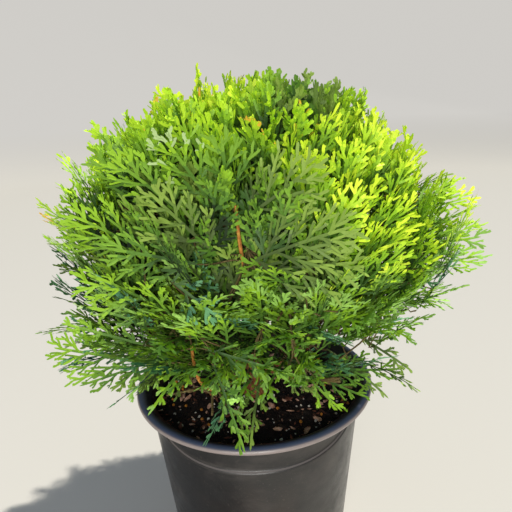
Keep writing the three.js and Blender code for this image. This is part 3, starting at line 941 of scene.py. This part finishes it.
def stripFaces(sections, across):
    # triangles between the sections, then those that close on the tip, and how far along each is
    faces, shares = [], []
    for j in range(sections - 1):
        for k in range(across - 1):
            a, b = across * j + k, across * (j + 1) + k
            faces += [(a, a + 1, b + 1), (a, b + 1, b)]
            shares += [(j + 0.5) / sections] * 2
    last, tip = across * (sections - 1), across * sections
    faces += [(last + k, last + k + 1, tip) for k in range(across - 1)]
    shares += [1] * (across - 1)
    return np.array(faces), np.array(shares)


stripPattern = {
    kind: stripFaces(len(shares), 2 if rib is None else 3) for kind, (shares, widths, rib) in strips.items()
}


def along(strip, share, degrees):
    # the place on a strip's middle line, and the heading there turned by some degrees
    ahead, aside = strip.length * share, strip.bow * strip.length * share * share
    cos, sin = math.cos(strip.angle), math.sin(strip.angle)
    x = strip.x + cos * ahead - sin * aside
    y = strip.y + sin * ahead + cos * aside
    return x, y, strip.angle + 2 * strip.bow * share + math.radians(degrees)


sprayRule = {  # lengths are millimetres, and the rest are shares of what carries the strip
    "axisWidth": 1.1,
    "axisBow": 0.07,
    "firstBranch": (0.08, 0.14),
    "lastBranch": 0.95,
    "taper": 0.72,  # below 1 the branches stay long towards the tip
    "waist": 0.16,  # from here on they are at their full length
    "shortest": 4.5,
    "branchBow": (0.03, 0.14),
    "branchTilt": 0.4,  # how much of the shape's lift and twist a branch has
    "branchEnd": (0.9, 1.05),
    "firstBranchlet": (0.12, 0.2),
    "bareEnd": 2.2,
    "bareBranch": 7,  # a branch up to this long has no branchlets
    "fullness": 0.3,
    "branchletSize": (0.72, 1.1),
    "branchletWidth": (0.88, 1.08),
    "branchletBow": 0.16,
    "lobesFrom": 2.6,
    "lobeApart": 2.4,
    "lobeLength": (2, 3),
    "lobeAngle": (30, 42),
    "lobeWidth": 0.8,
    "tintWave": (0.3, 0.9, 1.3),  # how far the tints waver, and how fast along and across the spray
}


def growLobes(rows, branchlet, side, shape, random):
    # small lobes on both sides of a branchlet, from its tip inwards
    apart, size = sprayRule["lobeApart"], branchlet.length
    for k in range(int(shape["lobes"] * (size - sprayRule["lobesFrom"]) / apart)):
        lobeSide = side if k % 2 else -side
        share = clamp(1 - (2.8 + apart * k / shape["lobes"]) / size, 0.15, 0.8)
        x, y, angle = along(branchlet, share, lobeSide * random.uniform(*sprayRule["lobeAngle"]))
        rows["lobe"].append(Strip(
            x, y, angle, random.uniform(*sprayRule["lobeLength"]), shape["width"] * sprayRule["lobeWidth"],
            0, branchlet.lift, branchlet.twist, branchlet.rootOut, branchlet.tipOut,
        ))


def growBranchlets(rows, branch, hand, spray, random):
    # branchlets on both sides of a branch in turn, longest near its root
    shape, reach = spray["shape"], branch.length
    small, large = shape["branchlet"]
    run, side = reach * random.uniform(*sprayRule["firstBranchlet"]), hand
    while run < reach - sprayRule["bareEnd"] and reach > sprayRule["bareBranch"]:
        share = run / reach
        size = clamp(sprayRule["fullness"] * reach * (1 - share) + small, small, large)
        size *= random.uniform(*sprayRule["branchletSize"])
        x, y, angle = along(branch, share, side * (shape["branchletAngle"] + random.uniform(-6, 6)))
        outward = lerp(branch.rootOut, branch.tipOut, share)
        branchlet = Strip(
            x, y, angle, size, shape["width"] * random.uniform(*sprayRule["branchletWidth"]),
            -side * random.uniform(0, sprayRule["branchletBow"]),
            branch.lift + random.gauss(0, shape["lift"]), random.gauss(0, shape["twist"]),
            outward, outward + size / spray["length"],
        )
        rows["branchlet"].append(branchlet)
        growLobes(rows, branchlet, side, shape, random)
        run += shape["branchletApart"] * random.uniform(0.85, 1.15)
        side = -side


def growSpray(random, spray):
    # every strip of one spray, by kind
    shape, length = spray["shape"], spray["length"]
    rows = {kind: [] for kind in strips}
    bow = random.uniform(-sprayRule["axisBow"], sprayRule["axisBow"])
    axis = Strip(0, 0, 0, length, shape["width"] * sprayRule["axisWidth"], bow, 0, 0, 0, 1)
    rows["axis"].append(axis)
    place, hand = length * random.uniform(*sprayRule["firstBranch"]), random.choice((-1, 1))
    while place < length * sprayRule["lastBranch"]:
        share = place / length
        reach = shape["reach"] * length * (1 - share) ** sprayRule["taper"]
        reach = reach * min(1, share / sprayRule["waist"]) ** 0.5 + sprayRule["shortest"]
        reach *= random.uniform(*shape["uneven"])
        degrees = lerp(*shape["branchAngle"], share) + random.uniform(-4, 4)
        x, y, angle = along(axis, share, hand * degrees)
        lift = random.gauss(0, shape["lift"] * sprayRule["branchTilt"])
        twist = random.gauss(0, shape["twist"] * sprayRule["branchTilt"])
        bow = -hand * random.uniform(*sprayRule["branchBow"])
        end = random.uniform(*sprayRule["branchEnd"])
        branch = Strip(x, y, angle, reach, shape["width"], bow, lift, twist, share, end)
        rows["branch"].append(branch)
        growBranchlets(rows, branch, hand, spray, random)
        place += shape["branchApart"] * random.uniform(0.86, 1.14) * lerp(1, 0.8, share)
        hand = -hand
    return rows


def stripTints(table, shares, spray):
    # the tint of every triangle: neighbouring strips are alike, and they brighten outwards, with painted
    # shade towards a spray's root and fresher growth at its tips
    columns = Strip(*table.T[..., None])
    x, y, rootOut, tipOut = columns.x, columns.y, columns.rootOut, columns.tipOut
    outward = rootOut + (tipOut - rootOut) * shares[None, :]
    ramp, soft = np.array(spray["ramp"]), spray["tipShare"]
    depth, alongRate, acrossRate = sprayRule["tintWave"]
    wave = depth * np.sin(x * alongRate + y * acrossRate)
    step = (outward - (1 - soft)) / soft * (len(ramp) - 1) + wave
    return ramp[np.clip(np.ceil(step), 0, len(ramp) - 1).astype(int)].ravel()


def sprayArrays(random, spray):
    # one spray set in its place, as corners, triangles and their tints
    rows, length, shape = growSpray(random, spray), spray["length"], spray["shape"]
    bend, cup = random.uniform(*shape["bend"]), random.uniform(*shape["cup"])
    parts, tintSets = [], []
    for kind, listed in rows.items():
        if not listed:
            continue
        table = np.array(listed, float)
        corners = stripCorners(table, *strips[kind])
        count, each = corners.shape[:2]
        pattern, shares = stripPattern[kind]
        faces = pattern[None] + (np.arange(count) * each)[:, None, None]
        parts.append((corners.reshape(-1, 3), faces.reshape(-1, 3)))
        tintSets.append(stripTints(table, shares, spray))
    flat, faces = joined(parts)
    x, y = flat[:, 0] / length, flat[:, 1] / length
    height = flat[:, 2] + length * (2 * bend * x * (1 - x) + cup * y * y)
    placed = (spray["root"] + flat[:, :1] * spray["axis"] + flat[:, 1:2] * spray["side"]
              + height[:, None] * spray["normal"])
    over = np.maximum(placed.max(0) - reachHigh, 0) - np.maximum(reachLow - placed.min(0), 0)
    return placed - over, faces, np.concatenate(tintSets)


foliage = {
    "growth": 3,  # which of the many ways that the rule can grow the sprays
    "between": (520, seed + 11, -46),  # how many, their random numbers' start, lowest elevation
    "upper": (130, seed + 23, 38),  # more of them on the top, where they are short
    "inner": (440, seed + 47, -52),
    "skirtBetween": 22,
    "skirtReaches": (104, 156),
    "skirtHeights": (196, 246),
    "betweenDepth": (0.84, 0.96),  # shares of the crown's reach, so that the leaders stand out
    "innerDepth": (0.5, 0.84),
    "clump": 0.065,  # how much further out the sprays of a clump come, as such a share
    "clumpSize": 0.3,
    "stemSteps": 14,
    "stemSides": 10,
    "twigs": 6,  # side twigs on each stem
    "twigRadius": 1.5,
    "twigReach": 0.52,  # share of the way from the stem to a spray's tip
    "twigSides": 6,
    "stalkRadius": 0.85,
    "stalkEnd": 0.6,
    "stalkSides": 4,
    "spare": 3,  # how far foliage may pass the solids' box
}
reachLow = np.array(cadBox[0]) / mm - foliage["spare"]
reachHigh = np.array(cadBox[1]) / mm + foliage["spare"]

# More tips that stand out, beside the leaders on the shoulders
shoulderTips = [
    (196, -22, 350), (190, -60, 336), (197, -48, 308), (182, 6, 364), (176, -70, 352),
    (170, -50, 366), (-114, -30, 425), (-157, -44, 334), (-160, -70, 236), (-167, -60, 226),
    (-166, -48, 240),
]
leaderShapes = {0: "spire", 1: "spire", 2: "tuft", 3: "tuft"}  # the others are low or fans

# Sprays at the front: root, tip, the side that they face, shape, ramp of tints
frontSprays = [
    ((0, -108, 330), (66, -144, 366), (-0.1, -1, 0.35), "frond", "olive"),
    ((-4, -106, 360), (48, -134, 398), (0.1, -1, 0.3), "frond", "olive"),
    ((4, -110, 326), (72, -138, 334), (0, -1, 0.45), "frond", "olive"),
    ((-22, -104, 337), (-62, -134, 388), (-0.3, -1, 0.3), "frond", "olive"),
    ((-34, -106, 330), (-92, -128, 352), (-0.4, -1, 0.3), "frond", "green"),
    ((-8, -102, 366), (-16, -126, 420), (0, -1, 0.35), "frond", "green"),
    ((-44, -96, 364), (-84, -118, 410), (-0.4, -1, 0.35), "fan", "fresh"),
    ((-24, -100, 374), (-50, -124, 422), (-0.2, -1, 0.4), "fan", "pale"),
    ((-60, -100, 292), (-104, -128, 330), (-0.4, -1, 0.3), "low", "fresh"),
    ((-54, -114, 322), (-24, -124, 298), (0.1, -0.93, 0.38), "fan", "blue"),
    ((-46, -96, 264), (-78, -124, 326), (-0.4, -1, 0.2), "low", "fresh"),
    ((-44, -96, 262), (-28, -126, 312), (0.1, -1, 0.2), "low", "green"),
    ((-54, -96, 258), (-140, -86, 232), (-0.3, -0.6, 0.8), "low", "green"),
    ((-36, -100, 260), (36, -118, 242), (0, -0.8, 0.6), "low", "green"),
    ((-32, -92, 243), (-6, -124, 184), (0.2, -0.6, 0.8), "low", "green"),
    ((39, -70, 224), (136, -52, 198), (0.3, -0.6, 0.8), "low", "green"),
    ((46, -74, 222), (99, -72, 188), (0.3, -0.6, 0.8), "low", "green"),
    ((36, -68, 224), (73, -80, 183), (0.2, -0.7, 0.7), "low", "fresh"),
    ((24, -60, 222), (57, -54, 182), (0.2, -0.7, 0.7), "low", "olive"),
    ((-70, -86, 330), (-118, -106, 374), (-0.5, -1, 0.35), "frond", "fresh"),
    ((-68, -68, 366), (-102, -88, 410), (-0.5, -1, 0.35), "frond", "green"),
    ((-62, -92, 294), (-122, -104, 322), (-0.5, -1, 0.3), "frond", "fresh"),
    ((-86, -84, 242), (-166, -60, 250), (-0.3, -0.7, 0.7), "frond", "fresh"),
    ((-84, -84, 258), (-150, -78, 278), (-0.4, -0.8, 0.5), "low", "fresh"),
    ((-84, -86, 278), (-136, -82, 298), (-0.4, -0.9, 0.5), "low", "pale"),
]

# Where the crown is hollow: azimuth, elevation, spread, how far back the scattered sprays stay there
hollows = [
    (-87, 9, 20, 0.15),
    (-118, 3, 14, 0.1),
    (-98, 12, 9, 0.14),
    (-170, 55, 14, 0.07),
    (-20, 84, 9, 0.09),
    (-18, 20, 9, 0.05),
    (-77, 15, 13, 0.06),
    (-172, -17, 10, 0.12),
    (-44, -24, 14, 0.1),
]

# Where the soil lies open under the crown: azimuth and spread
soilGap = (-64, 25)

# Where the light comes through under the crown at the right: its azimuths, how high it is at the
# middle line and how fast that falls towards the back
bay = {"azimuths": (-60, 42), "height": 240, "fall": 0.35}

# Painted shade and light on the crown, where the tints are darker or lighter: azimuth, elevation, spread,
# change
paintedCrownShadeAndLight = [
    (-48, 62, 17, -0.8),
    (28, 62, 18, -0.6),
    (-102, 44, 16, 0.14),
    (-95, 15, 20, -0.18),
    (-84, 14, 20, -0.2),
    (-71, 17, 9, -0.32),
    (-112, 0, 16, -0.16),
    (-125, 36, 22, -0.24),
    (-114, 14, 16, -0.16),
    (-62, 29, 14, 0.34),
    (-60, 4, 16, 0.18),
    (-104, -16, 18, 0.56),
    (-70, -14, 17, 0.56),
    (-95, -44, 34, 0.36),
    (-138, -8, 18, 0.04),
    (-40, 14, 18, 0.12),
]

ramps = {  # tints from a spray's root to its tips
    "inner": ["innerShade", "deepGreen"],
    "olive": ["oliveShade", "oliveGreen", "oliveLight"],
    "green": ["deepGreen", "leafGreen", "freshGreen"],
    "fresh": ["leafGreen", "freshGreen", "springGreen"],
    "blue": ["deepGreen", "blueGreen", "blueLight"],
    # tips with a painted glint
    "pale": ["leafGreen", "freshGreen", "springGreen", "paintedGlint"],
}

tintRule = {
    "middle": 0.4,  # how sunny a level spray at the middle of the front is; 1 is full sun
    "rise": 0.55,  # so much more at the top
    "drop": 0.3,  # and less at the bottom
    "sides": 0.2,
    "right": 0.1,
    "scatter": 0.07,
    "olive": 0.5,  # share of the shaded sprays that are olive
    "blue": 0.18,  # of the low ones that are bluish
    "orange": 0.09,  # of the sunny ones that have orange tips
    "pale": 0.035,  # of those at the left whose tips have a painted glint
    "shaded": 0.5,  # below so much sun
    "deep": 0.3,
    "sunny": 0.62,
    "left": -0.3,
    "first": 1.6,  # how fast a spray's first tint rises with the sun
    "last": (1.4, 5),  # its last tint in no sun, and how fast that rises
    "tips": (0.36, 0.16),  # how much of a spray its tips' tints take up, told the same way
    "tipShares": (0.35, 0.55),  # the least and the most of that
}

growthRule = {
    "wander": 45,  # degrees that a spray swings off its mass's own way
    "massSwing": 35,
    "lowBelow": -0.42,  # how far down the crown the sprays lie level
    "tufts": (0.3, 0.8),  # from how far up some, and all, sprays are tufts
    "top": (0.25, 0.75),  # and grow as on the top
    "rolls": (32, 88),  # on the sides and at the top
    "sideOutward": (0.35, 0.85),
    "topOutward": (0.9, 1.2),
    "lean": (0.8, 0.35),  # towards the top, on the sides and low down
    "topLean": 0.3,
    "upward": (0.12, 0.35),
}

frontTwigs = [  # paths from a bough out to the roots of those sprays, in millimetres
    [(2, -45, 290), (2, -90, 300), (-5, -112, 320), (-6, -110, 372)],
    [(-10, -30, 196), (-35, -60, 190), (-50, -80, 205), (-46, -100, 264)],
]


def growthDirection(direction, random, kind, swing):
    # sprays sweep outwards and up, less so low down
    rise = direction[2]
    upward = unit(np.array((0, 0, 1.0)) - direction * rise) if abs(rise) < 0.98 else np.array((1.0, 0, 0))
    level = unit(np.cross((0, 0, 1.0), direction)) if abs(rise) < 0.98 else np.array((0, 1.0, 0))
    topness = blend(rise, *growthRule["top"])
    if kind in ("low", "leader"):
        outward, lean = 1.0, growthRule["topLean"]
    else:
        aside, over = random.uniform(*growthRule["sideOutward"]), random.uniform(*growthRule["topOutward"])
        outward = lerp(aside, over, topness)
        lean = lerp(lerp(*growthRule["lean"], clamp(-rise * 1.6, 0, 1)), growthRule["topLean"], topness)
    tangent = upward * math.cos(swing) + level * math.sin(swing)
    return unit(direction * outward + tangent * lean + (0, 0, lerp(*growthRule["upward"], topness)))


def sprayFrame(axis, facing, roll):
    # the side across a spray's axis, so that the spray faces the given way, then rolled
    side = np.cross(axis, facing)
    if np.linalg.norm(side) < 0.3:
        side = np.cross((0, 0, 1.0), axis)
    if np.linalg.norm(side) < 0.1:
        side = np.array((0, 1.0, 0))
    side = turned(unit(side), axis, roll)
    return {"axis": axis, "side": side, "normal": np.cross(axis, side)}


def planSpray(tip, random, massSwing):
    # where a spray roots, which way it faces, its shape and its tints
    direction = fromCentre(tip["place"])
    kind = tip["kind"]
    topness = blend(direction[2], *growthRule["tufts"])
    if kind == "inner":
        name = "inner"
    elif random.random() < topness:
        name = "tuft"
    else:
        name = "low" if direction[2] < growthRule["lowBelow"] or kind == "low" else "fan"
    shape = sprayShapes[tip.get("shape", name)]
    length = random.uniform(*shape["length"])
    swing = massSwing + math.radians(random.uniform(-growthRule["wander"], growthRule["wander"]))
    axis = growthDirection(direction, random, kind, swing)
    spray = sprayFrame(axis, direction, tip["roll"] * math.radians(lerp(*growthRule["rolls"], topness)))
    spray.update(root=tip["place"] - axis * length, length=length, shape=shape, kind=kind)
    spray["ramp"], spray["tipShare"] = chooseTints(direction, kind, random)
    return spray


def rampOf(name):
    return [tintIndex[tint] for tint in ramps[name]]


def chooseTints(direction, kind, random):
    # yellower towards the top and the sunny side and deeper low down, as painted light and shade with some of
    # the fresh growth's own colour; some low sprays are bluer
    if kind == "inner":
        return rampOf("inner"), 0.3
    x, y, z = direction
    sun = tintRule["middle"] + (tintRule["rise"] if z > 0 else tintRule["drop"]) * z
    sun += tintRule["sides"] * abs(x) ** 1.5
    sun += tintRule["right"] * x
    sun += random.gauss(0, tintRule["scatter"])
    # painted shade and light, in patches over the crown
    sun += patches(direction, paintedCrownShadeAndLight)
    dimmest, gain = tintRule["last"]
    first = clamp(round(tintRule["first"] * sun), 0, 2)
    last = clamp(round(dimmest + gain * sun), first + 1, sunniest if z > 0 else tintIndex["springGreen"])
    ramp = list(range(first, last + 1))
    # low down a ramp starts one tint lighter and ends light green: painted light on the low sprays
    if z < 0 and last > first + 1:
        ramp = ramp[1:] + [tintIndex["lightGreen"]]
    chance = random.random()
    if sun < tintRule["shaded"] and chance < tintRule["olive"]:
        ramp = rampOf("olive")[:2 if sun < tintRule["deep"] else 3]
    elif z < 0 and chance > 1 - tintRule["blue"]:
        ramp = rampOf("blue")
    elif sun > tintRule["sunny"] and z > 0 and chance < tintRule["orange"]:
        ramp = [tint for tint in ramp for part in range(3)] + [tintIndex["orangeTip"]]
    # a few at the left have tips with a painted glint
    elif x < tintRule["left"] and chance > 1 - tintRule["pale"]:
        ramp = rampOf("pale")
    tips, gain = tintRule["tips"]
    return ramp, clamp(tips + gain * sun, *tintRule["tipShares"]) * random.uniform(0.8, 1.1)


def growMass(mass, tips):
    # the stem and its side twigs, as paths, towards the mass's own tips
    root, top, steps = mass["boughTip"], mass["stemTip"], foliage["stemSteps"]
    ahead = unit(top - root)
    stem = bezier([root - ahead * 0.5, lerp(root, top, 0.35), lerp(root, top, 0.7), top], steps)
    shoots = [(stem, trunk["boughTipRadius"], foliage["twigRadius"] * 0.8)]
    outer = [tip for tip in tips if tip["mass"] is mass and tip["kind"] != "inner"]
    for i in range(foliage["twigs"] if outer else 0):
        start = stem[2 + round(i * (steps - 4) / foliage["twigs"])]
        wanted = outer[int(i * len(outer) / foliage["twigs"])]["place"]
        end = lerp(start, wanted, foliage["twigReach"])
        span = np.linalg.norm(end - start)
        path = bezier([start, start + ahead * span * 0.3, end - unit(wanted - start) * span * 0.3, end], 8)
        shoots.append((path, foliage["twigRadius"], foliage["stalkRadius"]))
    return shoots


def stalkPath(spray, shoots):
    # from the nearest place on a shoot to the spray's root
    places = np.concatenate([path for path, thick, thin in shoots])
    aims = np.concatenate([np.gradient(path, axis=0) for path, thick, thin in shoots])
    root, axis = spray["root"], spray["axis"]
    reach = root - places
    distance = np.linalg.norm(reach, axis=1)
    ahead = (reach @ axis) / np.maximum(distance, 1e-6)
    nearest = int(np.argmin(distance * (1.5 - 0.5 * ahead)))
    start, span = places[nearest], distance[nearest]
    leave = start + unit(aims[nearest]) * span * 0.3
    return bezier([start, leave, root - axis * span * 0.4, root + axis * 2], 5)


def nearestMass(place):
    direction = fromCentre(place)
    return max(masses, key=lambda mass: float(mass["direction"] @ direction))


def deepen(tips, random, depths):
    # tips moved in, less so where they form a clump and more where the crown is hollow
    for tip in tips:
        direction = fromCentre(tip["place"])
        clump = noise.noise(Vector(direction) / foliage["clumpSize"]) * 2 * foliage["clump"]
        back = patches(direction, hollows)
        tip["place"] = crownPoint(direction, random.uniform(*depths) + clump - back)
    return tips


def overSoilGap(place):
    azimuth, spread = soilGap
    turn = math.degrees(math.atan2(place[1], place[0])) - azimuth
    return abs((turn + 180) % 360 - 180) < spread


def inBay(place):
    turn = math.degrees(math.atan2(place[1], place[0]))
    low, high = bay["azimuths"]
    return low < turn < high and place[2] < bay["height"] - bay["fall"] * place[1]


def planTips(random):
    tips = solidTips()
    for i, shape in leaderShapes.items():
        tips[i]["shape"] = shape
    for tip in tips:
        if "kind" not in tip:
            back = patches(fromCentre(tip["place"]), hollows)
            tip["place"] = lerp(tip["place"], crown["centre"], back)
    between = roundTips(*foliage["between"]) + roundTips(*foliage["upper"])
    between = deepen(between, random, foliage["betweenDepth"])
    for i in range(foliage["skirtBetween"]):
        turn = i * 360 / foliage["skirtBetween"] + random.random() * 10
        level = aim(turn, 0) * random.uniform(*foliage["skirtReaches"])
        place = level + (0, 0, random.uniform(*foliage["skirtHeights"]))
        between.append({"place": place, "roll": random.uniform(-1, 1), "kind": "low"})
    tips += [tip for tip in between if not inBay(tip["place"])]
    tips = [tip for tip in tips if tip.get("kind") != "low" or not overSoilGap(tip["place"])]
    for place in shoulderTips:
        tips.append({"place": np.array(place, float), "roll": random.uniform(-1, 1), "kind": "leader"})
    inner = deepen(roundTips(*foliage["inner"]), random, foliage["innerDepth"])
    for tip in inner:
        tip["kind"] = "inner"
    tips += [tip for tip in inner if not inBay(tip["place"])]
    for tip in tips:
        tip.setdefault("kind", "outer")
        tip["mass"] = nearestMass(tip["place"])
    return tips


def planFrontSprays():
    planned = []
    for i, (root, tip, facing, shape, ramp) in enumerate(frontSprays):
        root, tip = np.array(root, float), np.array(tip, float)
        spray = sprayFrame(unit(tip - root), unit(np.array(facing, float)), 0)
        spray.update(root=root, length=np.linalg.norm(tip - root), shape=sprayShapes[shape], kind="front")
        spray.update(ramp=rampOf(ramp), tipShare=0.5, mass=nearestMass(tip), random=Random(seed + i))
        planned.append(spray)
    return planned


pieceGroups = [  # name, slot, masses that the piece stands for
    ("spraysTop", "foliage_bright", ["crown_top", "crown_upper_1", "crown_upper_2"]),
    ("spraysTopBack", "foliage_bright", ["crown_upper_3", "crown_upper_4", "crown_upper_5"]),
    ("spraysMiddleFront", "foliage_green", ["crown_middle_1", "crown_middle_2", "crown_middle_8"]),
    ("spraysMiddleRight", "foliage_green", ["crown_middle_3", "crown_middle_4"]),
    ("spraysMiddleBack", "foliage_green", ["crown_middle_5", "crown_middle_6", "crown_middle_7"]),
    ("spraysLowerFront", "foliage_shade", ["crown_lower_1", "crown_lower_2", "crown_lower_7"]),
    ("spraysLowerBack", "foliage_shade",
     ["crown_lower_3", "crown_lower_4", "crown_lower_5", "crown_lower_6"]),
    ("spraysSkirt", "foliage_shade", ["skirt_1", "skirt_2", "skirt_3", "skirt_4", "skirt_5"]),
]


def growCrown():
    # every mass's sprays, the stems that show at the front, and all other twigs and stalks
    tips, front = planTips(Random(seed)), planFrontSprays()
    radius, stalk = foliage["twigRadius"], (foliage["stalkRadius"], foliage["stalkEnd"])
    frontPaths = [(bezier(points, 24), radius * 1.3, radius * 0.8) for points in frontTwigs]
    stems = [taperedTube(path, thick, thin, foliage["stemSides"]) for path, thick, thin in frontPaths]
    grown, twigs = {}, []
    for i, mass in enumerate(masses):
        random = Random(100 * foliage["growth"] + i)
        shoots = growMass(mass, tips)
        twigs += [taperedTube(path, thick, thin, foliage["twigSides"]) for path, thick, thin in shoots]
        massSwing = math.radians(random.uniform(-growthRule["massSwing"], growthRule["massSwing"]))
        sprays = [planSpray(tip, random, massSwing) for tip in tips if tip["mass"] is mass]
        sprays += [spray for spray in front if spray["mass"] is mass]
        for spray in sprays:
            path = stalkPath(spray, frontPaths + shoots if spray["kind"] == "front" else shoots)
            twigs.append(taperedTube(path, *stalk, foliage["stalkSides"]))
        grown[mass["name"]] = [sprayArrays(spray.get("random", random), spray) for spray in sprays]
    return grown, stems, twigs


def makeSprays(grown):
    for name, slot, names in pieceGroups:
        listed = [arrays for massName in names for arrays in grown[massName]]
        corners, faces = joined([(placed, triangles) for placed, triangles, tint in listed])
        faceTints = np.concatenate([tint for placed, triangles, tint in listed])
        piece = makeMesh(name, corners, faces, leafMaterials, faceTints)
        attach(piece, "root")
        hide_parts(*names)
        print("  ", name, len(listed), "sprays", len(faces), "triangles")


def makeTwigs(stems, twigs):
    corners, faces = joined(stems + twigs)
    inStems = sum(len(quads) for placed, quads in stems)
    materials = [makeBark("stemBark"), makeBark("twigBark")]
    piece = makeMesh("twigs", corners, faces, materials, np.arange(len(faces)) >= inStems)
    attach(piece, "root")
    print("  ", "twigs", len(faces) * 2, "triangles")


grown, stems, twigs = growCrown()
makeSprays(grown)
makeTwigs(stems, twigs)
print("foliage made:", sum(len(listed) for listed in grown.values()), "sprays")


# Stage: a pale floor that curves up far behind on all sides, and soft studio light

stage = {
    "floorRadius": 2600,
    "wallRadius": 3600,
    "wallHeight": 1300,
    "curveSteps": 12,
    "sides": 96,
    "colour": paint(172, 170, 166),
    "wallGlow": 1.5,  # how bright the wall looks from the camera
}

sunLight = {"from": (620, 220, 1600), "angle": 1.5, "strength": 5.2, "colour": (1, 0.95, 0.84)}
fillLight = {"place": (-150, -1750, 600), "size": 1200, "power": 29, "colour": (1, 0.97, 0.92)}
skyLight = {"colour": (0.66, 0.81, 1.0, 1), "strength": 0.42}
lightsAim = (0, 0, 270)


def makeStage():
    flat, height = stage["floorRadius"], stage["wallHeight"]
    steps, sides = stage["curveSteps"], stage["sides"]
    profile = [(0.01, 0), (flat * 0.5, 0), (flat, 0)]
    wide = stage["wallRadius"] - flat
    for step in range(1, steps + 1):
        turn = math.pi / 2 * step / steps
        profile.append((flat + wide * math.sin(turn), height * (1 - math.cos(turn))))
    corners = [corner for radius, z in profile for corner in circle(radius, z, sides)]
    material, tree, shader = newMaterial("paleFloor", stage["colour"], 0.85, 0.2)
    # the wall, where the light is uneven, shows a glow to the camera in place of its own colour
    wall = rangeNode(tree, distanceNode(tree, (0, 0, 1)), 0, height * 0.2)
    tree.links.new(mixNode(tree, wall, stage["colour"], (0, 0, 0, 1)), shader.inputs["Base Color"])
    seen = addNode(tree, "LightPath", {}, "Is Camera Ray")
    glow = timesNode(tree, timesNode(tree, wall, seen), stage["wallGlow"])
    shader.inputs["Emission Color"].default_value = stage["colour"]
    tree.links.new(glow, shader.inputs["Emission Strength"])
    floor = makeMesh("paleFloor", corners, gridFaces(len(profile), sides), [material])


def placeLight(data, place):
    # a light at a place, turned to the lower crown
    lamp = bpy.data.objects.new(data.name, data)
    lamp.location = Vector(place) * mm
    lamp.rotation_mode = "QUATERNION"
    lamp.rotation_quaternion = (Vector(lightsAim) * mm - lamp.location).to_track_quat("-Z", "Y")
    bpy.context.collection.objects.link(lamp)


def makeLights():
    sun = bpy.data.lights.new("sunLight", "SUN")
    sun.angle = math.radians(sunLight["angle"])
    sun.energy = sunLight["strength"]
    sun.color = sunLight["colour"]
    placeLight(sun, sunLight["from"])
    fill = bpy.data.lights.new("fillLight", "AREA")
    fill.shape = "DISK"
    fill.size = fillLight["size"] * mm
    fill.energy = fillLight["power"]
    fill.color = fillLight["colour"]
    placeLight(fill, fillLight["place"])
    world = bpy.data.worlds.new("softSky")
    world.use_nodes = True
    background = world.node_tree.nodes["Background"]
    background.inputs["Color"].default_value = skyLight["colour"]
    background.inputs["Strength"].default_value = skyLight["strength"]
    bpy.context.scene.world = world


makeStage()
makeLights()
bpy.context.scene.view_settings.view_transform = "Standard"

print("stage and lights made")
